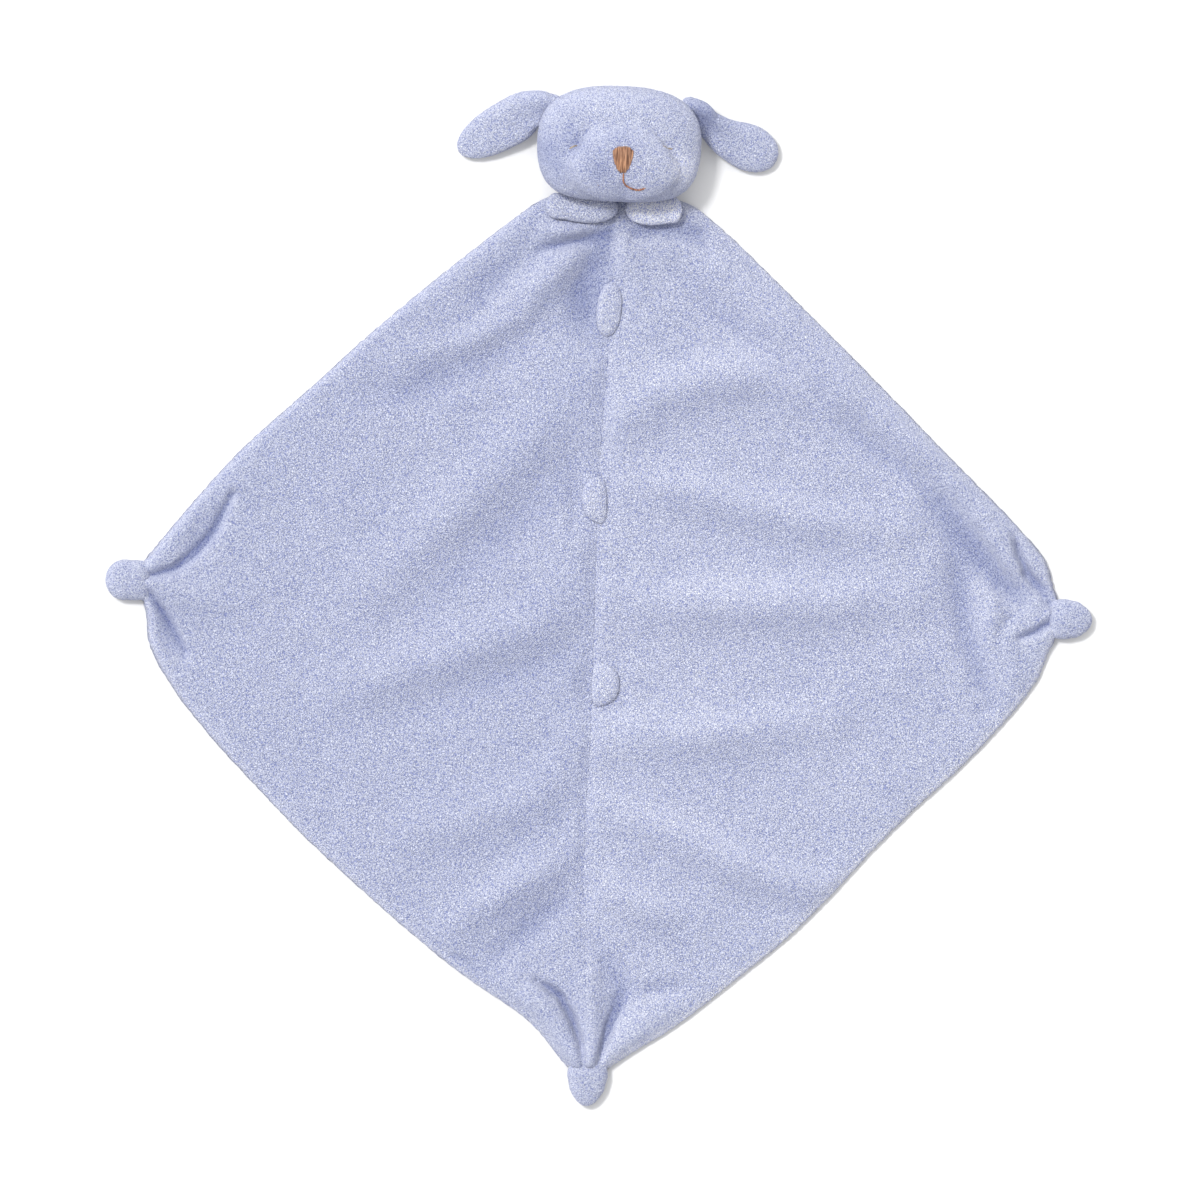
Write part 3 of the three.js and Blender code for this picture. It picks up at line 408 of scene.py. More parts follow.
# What flattens the folds, each with its width: the seam, the edge, the chin and the tabs
SEAM_PRESS, SEAM_PRESS_WIDTH = 0.5, 5.0
EDGE_PRESS, EDGE_PRESS_WIDTH = 0.8, 4.0
CHIN_PRESS_WIDTH, CHIN_PRESS_SLIMNESS = 24.0, 1.6
TAB_PRESS, TAB_PRESS_WIDTH = 0.8, 6.0
# Where the seam starts and ends, and over what length it fades
SEAM_TOP, SEAM_TOP_FADE = 172, 20
SEAM_LOW, SEAM_LOW_FADE = -205, 30
# The dip on the left of each tab, and the rise of the cloth towards each nub
TAB_DIP, TAB_DIP_WIDTH, TAB_DIP_PLACE, TAB_DIP_SHORTNESS = 2.2, 5.0, 4.0, 1.7
KNOT_RISE, KNOT_RISE_WIDTH = 3.4, 17.0
DEEPEST = -3.0
# Height and size of the cloth's slow unevenness
WAVE, RIPPLE = (0.8, 30), (0.45, 13)


def pucker(x, y, edge):
    """How far the front layer stands off the back one."""
    height = PUFF + folded(x, y)
    flat = xyz(x, y, np.zeros_like(x))
    height += WAVE[0] * noise(flat, WAVE[1], 5) + RIPPLE[0] * noise(flat, RIPPLE[1], 6)
    height = np.maximum(height, DEEPEST)
    open_seam = smoothstep((y - SEAM_LOW) / SEAM_LOW_FADE) * smoothstep((SEAM_TOP - y) / SEAM_TOP_FADE)
    height *= 1 - SEAM_PRESS * open_seam * bell((x - seam_place(y)) / SEAM_PRESS_WIDTH)
    height *= 1 - EDGE_PRESS * bell(edge / EDGE_PRESS_WIDTH)
    below_chin = np.hypot(x - NECK_PIVOT[0], (y - TOP_REACH) * CHIN_PRESS_SLIMNESS)
    height *= 1 - bell(below_chin / CHIN_PRESS_WIDTH)
    for place, length, left, right in TAB_PLACES.values():
        beside = np.maximum(0, np.abs(x - (left + right) / 2) - (right - left) / 2)
        beyond = np.maximum(0, np.abs(y - place) - length / 2)
        height *= 1 - TAB_PRESS * bell(np.hypot(beside, beyond) / TAB_PRESS_WIDTH)
        dip = TAB_DIP * bell((x - left + TAB_DIP_PLACE) / TAB_DIP_WIDTH)
        height -= dip * bell((y - place) / length * TAB_DIP_SHORTNESS)
    for place in KNOTS.values():
        height += KNOT_RISE * bell(np.hypot(x - place[0], y - place[1]) / KNOT_RISE_WIDTH)
    return height


# Painted light and shade in the pile's colour: slopes that face the light painted paler, hollows painted
# deeper as shade, turned edges painted palest as a pale rim
SHADE_STEP = 1.5
SHADE_LIGHT_TOWARD = np.array([-0.35, 0.94])
SHADE_SLOPES = (-0.5, 0.6)
HOLLOW_START, HOLLOW_PAINTED_SHADE, HOLLOW_MOST = -0.6, 0.36, 5
RIM_WIDTH = 2.6
RIM_CHANGE, RIM_CHANGE_LENGTH = -20, 40
TONE_MOST = 2


def painted_shading(x, y, height, edge, side):
    """Painted light and shade over the folds, from -2 to 2: paler on slopes facing the light, deeper shade in
    hollows, a pale rim at the edge, and one tone for each half.
    """
    toward = SHADE_STEP * SHADE_LIGHT_TOWARD
    facing = (height - pucker(x + toward[0], y + toward[1], edge)) / SHADE_STEP
    shade, shine = side["painted_shading"]
    tone = np.where(facing > 0, shine, shade) * np.clip(facing, *SHADE_SLOPES)
    tone -= HOLLOW_PAINTED_SHADE * np.clip(HOLLOW_START - folded(x, y), 0, HOLLOW_MOST)
    upper, lower = side["rim"]
    pale = lower + (upper - lower) * smoothstep((y - RIM_CHANGE) / RIM_CHANGE_LENGTH)
    tone += pale * bell(edge / RIM_WIDTH)
    tone += side["tone"]
    return np.clip(tone, -TONE_MOST, TONE_MOST)


def set_tone(piece, tone):
    """Keeps a tone of painted light and shade on each point, or one tone on them all."""
    layer = piece.data.attributes.new("tone", "FLOAT", "POINT")
    tones = np.broadcast_to(np.ravel(tone), len(piece.data.vertices))
    layer.data.foreach_set("value", np.ascontiguousarray(tones, np.float32))


ROWS, COLUMNS, UNDER_STEP = 400, 220, 4
EDGE_ROUND = 3.2
SEAM_ROUND = 3.2
SEAM_DIP = 0.6
GATHER_SLOPE = 1.1


def half_grid(side):
    """Rows and columns of x, y over one half of the blanket, and the distance to its edge."""
    y = np.linspace(TOP_REACH, -KNOT_BOTTOM_REACH, ROWS + 1)
    width = side_width(side, y)
    share = np.linspace(0, 1, COLUMNS + 1)
    inner = side["sign"] * seam_place(y)
    x = inner[:, None] + (width - inner)[:, None] * share[None, :]
    slope = np.abs(np.gradient(width, y))
    in_gather = np.maximum(0, GATHER_HALF - np.abs(y + side["drop"]))
    slope = np.where(in_gather > 0, GATHER_SLOPE, slope)
    beyond = width + in_gather * GATHER_SLOPE
    edge = (beyond[:, None] - x) / np.hypot(1, slope)[:, None]
    y = np.repeat(y[:, None], COLUMNS + 1, axis=1)
    return x, y, edge


def rolled(distance, radius):
    """From 0 on an edge to 1 inside it, along a quarter circle."""
    t = np.clip(1 - distance / radius, 0, 1)
    return np.sqrt(np.maximum(1 - t * t, 0))


def front_half(name, node, side):
    x, y, edge = half_grid(side)
    signed = side["sign"] * x
    raised = pucker(signed, y, edge)
    roll = rolled(edge, EDGE_ROUND)
    top = BACK_TOP + (CLOTH_TOP - BACK_TOP + raised) * roll
    top = np.maximum(top, BACK_TOP + 0.4 * roll)
    from_seam = np.abs(signed - seam_place(y))
    top -= SEAM_DIP * bell(from_seam / SEAM_ROUND)
    under = np.minimum(BACK_TOP + GAP + 0.6 * raised * roll, top - 0.2)
    rows, columns = x.shape
    over_points = xyz(signed, y, top).reshape(-1, 3)
    s = UNDER_STEP
    under_points = xyz(signed, y, under)[::s, ::s]
    under_rows, under_columns = under_points.shape[:2]
    points = np.concatenate([over_points, under_points.reshape(-1, 3)])
    faces = grid_faces(rows, columns, 0)
    faces += grid_faces(under_rows, under_columns, len(over_points))
    faces += stitched(rows, columns, len(over_points), under_columns, s)
    piece = make_piece(name, points, faces, "blanket")
    orient(piece)
    hold = np.concatenate([(1.9 - 0.9 * roll).ravel(), np.full(under_rows * under_columns, 0.35)])
    raise_pile(piece, 1.1, seed=11, hold=hold, floor=BACK_TOP * 0.5)
    # The blanket's painted light and shade, kept on each point for its colour
    tone = painted_shading(signed, y, raised, edge, side)
    set_tone(piece, np.concatenate([tone.ravel(), tone[::s, ::s].ravel()]))
    return stands_for(piece, "plush", node)


def grid_faces(rows, columns, first):
    r, c = np.meshgrid(np.arange(rows - 1), np.arange(columns - 1), indexing="ij")
    at = first + (r * columns + c).ravel()
    return np.stack([at, at + 1, at + columns + 1, at + columns], axis=1).tolist()


def rim(rows, columns, step):
    """Places round the edge of a grid, every step-th one, as row and column."""
    places = [(0, c) for c in range(0, columns - 1, step)]
    places += [(r, columns - 1) for r in range(0, rows - 1, step)]
    places += [(rows - 1, c) for c in range(columns - 1, 0, -step)]
    places += [(r, 0) for r in range(rows - 1, 0, -step)]
    return places


def stitched(rows, columns, under_first, under_columns, step):
    """Triangles that join the fine rim of the top to the coarse rim of the underside."""
    fine = [r * columns + c for r, c in rim(rows, columns, 1)]
    coarse = [under_first + (r // step) * under_columns + c // step for r, c in rim(rows, columns, step)]
    faces = []
    for k, low in enumerate(coarse):
        after = coarse[(k + 1) % len(coarse)]
        high = [fine[(k * step + j) % len(fine)] for j in range(step + 1)]
        for j in range(step // 2):
            faces.append((high[j], high[j + 1], low))
        faces.append((high[step // 2], after, low))
        for j in range(step // 2, step):
            faces.append((high[j], high[j + 1], after))
    return faces


def orient(piece):
    """Makes every face of a closed mesh agree and point outwards."""
    work = bmesh.new()
    work.from_mesh(piece.data)
    bmesh.ops.recalc_face_normals(work, faces=work.faces)
    work.to_mesh(piece.data)
    work.free()
    face_outwards(piece)


def back_layer():
    """The back layer, flat underneath and rolled up at its edge."""
    rows, columns = 193, 161
    y = np.linspace(TOP_REACH, -KNOT_BOTTOM_REACH, rows)
    left = -side_width(SIDES["left"], y)
    right = side_width(SIDES["right"], y)
    share = 0.5 - 0.5 * np.cos(np.pi * np.linspace(0, 1, columns))
    x = left[:, None] + (right - left)[:, None] * share[None, :]
    edge = np.minimum(x - left[:, None], right[:, None] - x)
    y = np.repeat(y[:, None], columns, axis=1)
    edge = np.minimum(edge, np.minimum(TOP_REACH - y, y + KNOT_BOTTOM_REACH) + 0.5)
    curl_up = 1 - rolled(edge, EDGE_ROUND)
    over = xyz(x, y, np.full_like(x, BACK_TOP + 0.1)).reshape(-1, 3)
    under = xyz(x, y, np.minimum(BACK_TOP * curl_up, BACK_TOP - 0.1)).reshape(-1, 3)
    faces = grid_faces(rows, columns, 0) + grid_faces(rows, columns, len(over))
    loop = [r * columns + c for r, c in rim(rows, columns, 1)]
    for k, a in enumerate(loop):
        b = loop[(k + 1) % len(loop)]
        faces.append((a, b, b + len(over), a + len(over)))
    piece = make_piece("blanket_back_plush", np.concatenate([over, under]), faces, "blanket")
    orient(piece)
    hold = np.concatenate([np.zeros(len(over)), curl_up.ravel()])
    raise_pile(piece, 0.8, seed=31, hold=hold, floor=0)
    # The back layer is painted pale all over, a painted highlight on the rolled rim that shows round the edge
    set_tone(piece, 1.0)
    return stands_for(piece, "plush_back", "blanket_back")


# Head

HEAD_HALF_WIDTH = 41.3
HEAD_HALF_HEIGHT = 29.0
FACE_DEPTH = 22.0
BACK_DEPTH = 26.0
HEAD_CENTRE = np.array([HEAD_SHIFT, HEAD_TOP - HEAD_HALF_HEIGHT, BACK_DEPTH - 0.5])
FACE_TURN = 2.0
MUZZLE_HEIGHT = 8.5
MUZZLE_HALF_WIDTH = 25.5
MUZZLE_HALF_LENGTH = 16.5
MUZZLE_DROP = 11.0
NECK_DIRECTION = (NECK_PIVOT - HEAD_CENTRE) / np.linalg.norm(NECK_PIVOT - HEAD_CENTRE)
EYES = [(-22.6, -1.6), (25.3, -1.2)]
CREASES = [
    [(-13, 10), (-17.5, 4.5), (-21.5, -1.5), (-24.5, -7), (-25.5, -12)],
    [(15.5, 9.5), (20, 4.5), (24.5, -1), (28, -6), (29.5, -11)],
]
LIP = [(2.5, -14), (2.5, -20), (2.0, -30)]
# How deep and wide the face is drawn in at its creases, the lip and the eyes
CREASE_DEPTH, CREASE_WIDTH = 2.6, 3.4
LIP_DEPTH, LIP_WIDTH = 2.0, 4.5
EYE_DEPTH, EYE_WIDTH = 1.1, 4.5
# The hollow under the chin, which keeps the paws clear when the head sways and nods
CHIN_HOLLOW, CHIN_HOLLOW_WIDTH, CHIN_HOLLOW_HEIGHT = 11.5, 37, 12.5
# How square the head's outline is at the crown and at the chin, and its section
CROWN_POWER, CHIN_POWER, DEPTH_POWER = 2.6, 3.8, 2.3
# Rises of the face, each with its place, height and size: two cheeks and the forehead
CHEEKS = [(-12.0, -11.0, 1.6, 11.0), (17.0, -10.0, 1.6, 11.0), (2.0, 18.0, 1.5, 16.0)]


def crease_share(path, x, y, width):
    """One on a crease of the face, falling off sideways and to its ends."""
    path = np.array(path, float) / FOLD_SPAN
    far, station = along_path(path, x, y)
    return bell(far / width) * np.sin(np.pi * np.clip(station, 0.04, 0.96)) ** 0.7


# Where the face's colour is painted paler as light or deeper as shade: place, size and tone
FACE_PAINTED_SHADES = [
    (-10.0, -14.0, 8.0, -1.4), (-21.5, 0.0, 6.5, -1.0), (22.5, 3.5, 6.0, 0.2), (-22.5, -8.5, 4.0, 0.4),
    (3.5, -23.0, 6.0, -0.7), (-4.5, 20.0, 16.0, 0.6), (14.0, 14.0, 12.0, 0.4), (0.0, 3.0, 8.0, -1.0),
    (15.0, -10.0, 7.0, 0.2), (-38.0, -4.0, 10.0, -1.5), (34.0, -11.0, 10.0, 1.9), (-26.0, 9.0, 6.0, -0.5),
    (-30.0, -15.0, 7.0, -1.0), (-22.0, -3.0, 4.0, -0.5),
]
# How far behind the head's middle those tones still count
FACE_TONE_REACH = 12


def face_painted_shading(points):
    x, y = points[:, 0] - HEAD_CENTRE[0], points[:, 1] - HEAD_CENTRE[1]
    tone = np.zeros(len(points))
    for cx, cy, size, deep in FACE_PAINTED_SHADES:
        tone += deep * bell(np.hypot(x - cx, y - cy) / size)
    on_face = points[:, 2] > HEAD_CENTRE[2] - FACE_TONE_REACH
    return np.clip(tone, -TONE_MOST, TONE_MOST) * on_face


def head_reach(d):
    """How far the head's surface lies from its centre along unit directions."""
    turn = smoothstep(-d[:, 1])
    power = CROWN_POWER + (CHIN_POWER - CROWN_POWER) * turn
    plan = (np.abs(d[:, 0]) / HEAD_HALF_WIDTH) ** power + (np.abs(d[:, 1]) / HEAD_HALF_HEIGHT) ** power
    depth = np.where(d[:, 2] > 0, FACE_DEPTH, BACK_DEPTH)
    total = plan ** (DEPTH_POWER / power) + (np.abs(d[:, 2]) / depth) ** DEPTH_POWER
    reach = total ** (-1 / DEPTH_POWER)
    x = d[:, 0] * reach - FACE_TURN
    y = d[:, 1] * reach
    face = np.clip(2 * d[:, 2], 0, 1)
    round_out = np.hypot((x - 1.0) / MUZZLE_HALF_WIDTH, (y + MUZZLE_DROP) / MUZZLE_HALF_LENGTH)
    reach += face * MUZZLE_HEIGHT * np.exp(-round_out ** 4)
    for cx, cy, rise, size in CHEEKS:
        reach += face * rise * bell(np.hypot(x + FACE_TURN - cx, y - cy) / size)
    for path in CREASES:
        reach -= face * CREASE_DEPTH * crease_share(path, x + FACE_TURN, y, CREASE_WIDTH)
    reach -= face * LIP_DEPTH * crease_share(LIP, x + FACE_TURN, y, LIP_WIDTH)
    for ex, ey in EYES:
        reach -= face * EYE_DEPTH * bell(np.hypot(x + FACE_TURN - ex, y - ey) / EYE_WIDTH)
    away = (d - NECK_DIRECTION) * HEAD_HALF_HEIGHT
    beside = (away[:, 0] / CHIN_HOLLOW_WIDTH) ** 2
    reach -= CHIN_HOLLOW * np.exp(
        -beside - (away[:, 1] ** 2 + away[:, 2] ** 2) / CHIN_HOLLOW_HEIGHT ** 2)
    return reach


def head_points(d):
    points = HEAD_CENTRE + d * head_reach(d)[:, None]
    points[:, 2] = np.maximum(points[:, 2], 0)
    return points


def head_cover():
    """The stuffed head: rings of points round the line from the neck."""
    rings, count = 190, 300
    pole = -NECK_DIRECTION
    side = np.cross([1.0, 0, 0], pole)
    side /= np.linalg.norm(side)
    across = np.cross(pole, side)
    spin = ring_angles(count)
    made = []
    for r in range(1, rings):
        angle = math.pi * r / rings
        d = math.cos(angle) * pole + math.sin(angle) * (
            np.cos(spin)[:, None] * side + np.sin(spin)[:, None] * across)
        made.append(head_points(d))
    piece = ring_piece("head_plush", "head", made, *head_points(np.array([pole, -pole])))
    raise_pile(piece, 1.2, seed=51, floor=0)
    # The face's painted light and shade, kept on each point
    set_tone(piece, face_painted_shading(coordinates(piece.data)))
    return stands_for(piece, "plush", "head_cover", "head_fill", fill=0.85)


def face_place(x, y, lift):
    """The point over a place on the face, in millimetres from the head's centre, lifted off it."""
    low, high = np.full(x.shape, 5.0), np.full(x.shape, 60.0)
    for _ in range(30):
        z = (low + high) / 2
        d = xyz(x, y, z)
        far = np.linalg.norm(d, axis=1)
        inside = far < head_reach(d / far[:, None])
        low, high = np.where(inside, z, low), np.where(inside, high, z)
    d = xyz(x, y, low)
    far = np.linalg.norm(d, axis=1)
    return HEAD_CENTRE + d * (1 + lift / far)[:, None]


# Limbs: ears, arms and nubs

# Below 1, a limb's section is blunter than an ellipse
BLUNT = 0.9
# Over what share of a limb its valley fades, and the ridge beside it: height, place and size
VALLEY_FADE = 0.55
RIDGE = (1.6, 0.75, 0.4)
LIMB_PILE = 1.1


def curve_points(knots, count):
    """Points and directions along a smooth curve through the knots, evenly spaced."""
    knots = np.array(knots, float)
    padded = np.concatenate([[2 * knots[0] - knots[1]], knots, [2 * knots[-1] - knots[-2]]])
    t = np.linspace(0, 1, 60, endpoint=False)[:, None]
    fine = np.concatenate([*(spline(*padded[k:k + 4], t) for k in range(len(knots) - 1)), [knots[-1]]])
    length = np.concatenate([[0], np.cumsum(np.linalg.norm(np.diff(fine, axis=0), axis=1))])
    want = np.linspace(0, length[-1], count)
    points = np.stack([np.interp(want, length, fine[:, k]) for k in range(3)], axis=-1)
    along = np.gradient(points, axis=0)
    return points, unit(along)


def limb_rings(limb, rings, count):
    """Rings of a stuffed limb from its rounded root to its tip."""
    centre, along = curve_points(limb["knots"], rings)
    station = np.linspace(0, 1, rings)
    across = unit(np.cross([0.0, 0, 1], along))
    if "root_across" in limb:
        share = np.clip(1 - 2 * station, 0, 1)[:, None]
        across = unit(across * (1 - share) + limb["root_across"] * share)
    begin, grown = limb.get("swell", (0.1, 0.5))
    swell = smoothstep((station - begin) / (grown - begin))
    close = np.sqrt(1 - np.clip((station - limb["tip"]) / (1 - limb["tip"]), 0, 1) ** 2.2)
    close = close * (1 - limb.get("taper", 0) * station)
    wide = (limb["root_width"] + (limb["width"] - limb["root_width"]) * swell) * close
    thick = (limb["root_thick"] + (limb["thick"] - limb["root_thick"]) * swell) * close
    spin = ring_angles(count)
    made = []
    up = np.cross(along, across)
    edge, tuck = limb["root_reach"], limb.get("root_tuck", 0.18)
    for step in np.sin(np.linspace(0.999, 0, 10, endpoint=False) * math.pi / 2):
        shrink = math.sqrt(1 - step * step)
        w = limb["root_width"] * (shrink if limb["round_plan"] else 1 - tuck + tuck * shrink)
        h = limb["root_thick"] * (0.72 + 0.28 * shrink if limb["round_plan"] else shrink)
        made.append(section(centre[0] - step * edge * along[0], across[0], up[0], w, h, spin, limb, 0))
    for r in range(rings - 1):
        made.append(section(centre[r], across[r], up[r], wide[r], thick[r], spin, limb, station[r]))
    return made, centre[0] - edge * along[0], centre[-1]


def section(centre, across, up, wide, thick, spin, limb, station):
    c, s = np.cos(spin), np.sin(spin)
    c, s = np.sign(c) * np.abs(c) ** BLUNT, np.sign(s) * np.abs(s) ** BLUNT
    h = thick * s
    if "valley" in limb:
        depth, place, size = limb["valley"]
        rise, beside, width = RIDGE
        fade = math.exp(-(station / VALLEY_FADE) ** 2)
        for push, at, wide_as in ((-depth, place, size), (rise, -np.sign(place) * beside, width)):
            h = h + (s > 0) * push * fade * bell((c - at) / wide_as) * np.abs(s) ** 0.5
    points = centre + across * (wide * c)[:, None] + up * h[:, None]
    points[:, 2] = np.maximum(points[:, 2], limb["floor"])
    return points


def limb_piece(name, limb, fill, seed, size=(70, 64), grown_from=None):
    """A stuffed limb on its body, or one that grows out of the blanket between two points."""
    nodes = [name + "_cover", name + "_fill"]
    piece = ring_piece(name + "_plush", None if grown_from else name, *limb_rings(limb, *size))
    if grown_from:
        nodes.append(name + "_tie")
        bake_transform(piece)
    raise_pile(piece, LIMB_PILE, seed=seed, floor=limb["floor"] - 0.2 if limb["floor"] else 0)
    return stands_for(piece, "plush", *nodes, fill=fill)


EAR_ROLL = math.radians(22)
EAR_TUCK = 7.0
EAR_REST = 5.1
EAR_RISE = {"ear_left": -0.5, "ear_right": 2.5}
# How pale each ear is painted, how deep the painted shade at its root where it meets the head, and how far
# from it
EAR_PAINTED_SHADES = {"ear_left": (0.25, 0.8), "ear_right": (0.0, 1.9)}
EAR_TONE_REACH = 13


def ear(name, shares, length, shape, valley, seed):
    point = joint_point(name + "_flap")
    sign = -1 if name == "ear_left" else 1
    knots = [point - np.array([sign, 0, 0]) * EAR_TUCK + np.array([0, EAR_RISE[name], 0])]
    for k, (out, up) in enumerate(shares):
        settle = math.sin(math.pi / 2 * k / (len(shares) - 1))
        z = point[2] + (EAR_REST - point[2]) * settle
        knots.append([point[0] + sign * out * length, point[1] + up * length, z])
    limb = {
        "knots": knots, "root_thick": 5.2, "thick": 6.0, "root_tuck": 0.5,
        "round_plan": False, "floor": 0, "root_reach": 4.0, **shape,
    }
    across = np.cross([0.0, 0, 1], np.array(knots[1]) - knots[0])
    across /= np.linalg.norm(across)
    facing = 1 if across[1] > 0 else -1
    limb["root_across"] = across * math.cos(EAR_ROLL) + facing * np.array([0, 0, math.sin(EAR_ROLL)])
    limb["valley"] = (valley, -facing * 0.3, 0.5)
    piece = limb_piece(name, limb, 0.3, seed, (90, 90))
    pale, deep = EAR_PAINTED_SHADES[name]
    from_root = np.linalg.norm(coordinates(piece.data) - point, axis=1)
    # Painted light over the ear and painted shade at its root
    set_tone(piece, pale - deep * bell(from_root / EAR_TONE_REACH))
    return piece


def arm(name, length, root_reach, pale, seed):
    point = joint_point(name + "_swing")
    sign = 1 if name == "arm_left" else -1
    tip = point + [sign * length, 0, 0]
    middle = (point + tip) / 2 + [0, -0.9, 0]
    limb = {
        "knots": [point, middle, tip], "root_width": 6.2, "width": 6.9, "root_thick": 4.8, "thick": 5.4,
        "tip": 0.55, "round_plan": True, "floor": CLOTH_TOP + GAP, "root_reach": root_reach,
    }
    piece = limb_piece(name, limb, 0.7, seed)
    # The paw's colour is painted paler by pale, a painted light against the head's shadow on it
    set_tone(piece, pale)
    return piece


def nub(name, direction, length, taper, seed):
    point = joint_point(name + "_lift")
    root = np.array([*KNOTS[name[5:]], point[2]])
    tip = root + np.array(direction, float) * length
    limb = {
        "knots": [point, (point + tip) / 2, tip], "root_width": 9.8, "width": 10.2, "root_thick": 6.9,
        "thick": 6.9, "tip": 0.3, "round_plan": False, "floor": 0, "taper": taper, "root_reach": 8.0,
    }
    return limb_piece(name, limb, 0.7, seed, grown_from=(root, root + 2 * (point - root)))


TAB_THICK = 6.4
TAB_SINK = 1.8
# The tabs' colour is painted paler, a painted light on their raised tops
TAB_PAINTED_LIGHT = 0.8
# How far each tab leans along the seam, how its outline bows to the seam, and which side stands higher
TAB_SHAPES = {"upper": (-1.6, 0.0, -0.35), "middle": (1.5, 3.6, -0.25), "lower": (0.0, -4.6, 0.2)}


def tab(name, seed):
    """A leaf of doubled plush sewn into the centre seam, lying over to one side."""
    y, length, left, right = TAB_PLACES[name[4:]]
    turn, bow, tilt = TAB_SHAPES[name[4:]]
    stations, count = 80, 44
    spin = ring_angles(count)
    c, s = np.cos(spin), np.sin(spin)
    made = []
    for share in 0.5 - 0.5 * np.cos(np.pi * np.linspace(0.02, 0.98, stations)):
        open_out = (1 - abs(2 * share - 1) ** 2.4) ** 0.5
        half = (right - left) / 2 * open_out
        middle = (left + right) / 2 + (share - 0.5) * turn + bow * (1 - open_out)
        thick = TAB_THICK * (0.35 + 0.65 * open_out)
        x = middle + half * np.sign(c) * np.abs(c) ** 0.8
        z = CLOTH_TOP - TAB_SINK + thick * 0.5 + 0.5 * thick * s * (1 + tilt * c)
        made.append(xyz(x, np.full(count, y - length * (share - 0.5)), z))
    piece = ring_piece(name + "_plush", name, made, made[0].mean(axis=0), made[-1].mean(axis=0))
    raise_pile(piece, 0.8, seed=seed, floor=CLOTH_TOP - 3)
    set_tone(piece, TAB_PAINTED_LIGHT)
    return stands_for(piece, "plush", name, fill=0.15)


# Threads

def tube(path, radius, sides=8):
    """Points and faces of a round thread along a path, with closed ends."""
    path = np.array(path, float)
    along = unit(np.gradient(path, axis=0))
    across = unit(np.cross(along, [0.0, 0, 1]))
    lift = np.cross(across, along)
    spin = ring_angles(sides)
    radius = np.broadcast_to(radius, len(path))
    rings = [p + r * (np.cos(spin)[:, None] * a + np.sin(spin)[:, None] * b)
             for p, r, a, b in zip(path, radius, across, lift)]
    return closed_rings(rings, path[0], path[-1])


def thread_piece(name, parts, slot, node):
    """One piece on the head from all the threads of a stitch."""
    points, faces, count = [], [], 0
    for p, f in parts:
        points.append(p)
        faces += [tuple(k + count for k in face) for face in f]
        count += len(p)
    return stands_for(make_piece(name, np.concatenate(points), faces, "head"), slot, node)


def twisted(x, y, radius, lift, turns):
    """Two plies twisted round each other along a line on the face."""
    path = face_place(x, y, lift)
    along = unit(np.gradient(path, axis=0))
    across = np.cross(along, [0.0, 0, 1])
    up = np.cross(across, along)
    share = np.linspace(0, 1, len(path))
    parts = []
    for ply in range(2):
        spin = TAU * turns * share + math.pi * ply
        ends = np.clip(np.sin(math.pi * np.clip(share, 0.02, 0.98)) * 4, 0.35, 1)
        centre = path + 0.55 * radius * (np.cos(spin)[:, None] * across + np.sin(spin)[:, None] * up)
        parts.append(tube(centre, radius * 0.62 * ends))
    return parts


NOSE_HALF_WIDTH = 5.1
NOSE_HEIGHT = 13.0
NOSE_TOP = -1.8


def nose_width(s):
    """The shield's half width at a share of its height from the top."""
    return NOSE_HALF_WIDTH * min(1, 0.62 + 2.6 * s) * math.sqrt(max(0, 1 - max(0, (s - 0.3) / 0.7) ** 2.1))


def nose():
    """Satin stitch: threads laid side by side down the shield."""
    rng = np.random.default_rng(4)
    threads = 17
    parts = []
    for layer in range(2):
        for k in range(threads):
            t = 2 * (k + 0.5) / threads - 1
            t += rng.uniform(-0.03, 0.03)
            reach = next(s for s in np.linspace(1, 0.2, 60) if nose_width(s) >= abs(t) * NOSE_HALF_WIDTH)
            top = NOSE_TOP + rng.uniform(-0.4, 0.3) - 2.3 * abs(t) ** 3
            low = NOSE_TOP - NOSE_HEIGHT * reach + rng.uniform(-0.3, 0.3)
            s = np.linspace(0, 1, 26)
            lean = rng.uniform(-0.25, 0.25)
            pull = 1 - 0.22 * s ** 2
            x = FACE_TURN + NOSE_HALF_WIDTH * t * pull + lean * (s - 0.5)
            y = top + (low - top) * s
            crown = 1.0 * np.sqrt(np.clip(1 - (2 * s - 1) ** 4, 0, 1)) * math.sqrt(1.02 - t * t)
            lift = 0.35 + crown + (0.25 if layer else -0.15) + rng.uniform(-0.2, 0.2)
            x = x + (0 if layer else NOSE_HALF_WIDTH / threads)
            parts.append(tube(face_place(x, y, lift), 0.42, 7))
    return thread_piece("nose_satin_stitch", parts, "nose_thread", "nose_embroidery")


def smooth_line(places, count):
    points, _ = curve_points([(x, y, 0) for x, y in places], count)
    return points[:, 0], points[:, 1]


def mouth():
    smile = [(2.7, -14.5), (2.75, -18.3), (3.7, -20.4), (6.7, -22.2), (10.4, -22.9), (13.9, -21.9)]
    x, y = smooth_line(smile, 90)
    parts = twisted(x, y, 0.48, 0.7, 7)
    x, y = smooth_line([(-10.2, -21.1), (-9.6, -21.6), (-9.1, -21.4)], 12)
    parts += twisted(x, y, 0.26, 0.3, 1)
    return thread_piece("mouth_thread", parts, "mouth_thread", "mouth_stitch")


def eye(name, node, places):
    x, y = smooth_line(places, 30)
    return thread_piece(name, twisted(x, y, 0.42, 0.55, 2.5), "eye_thread", node)


# Neck

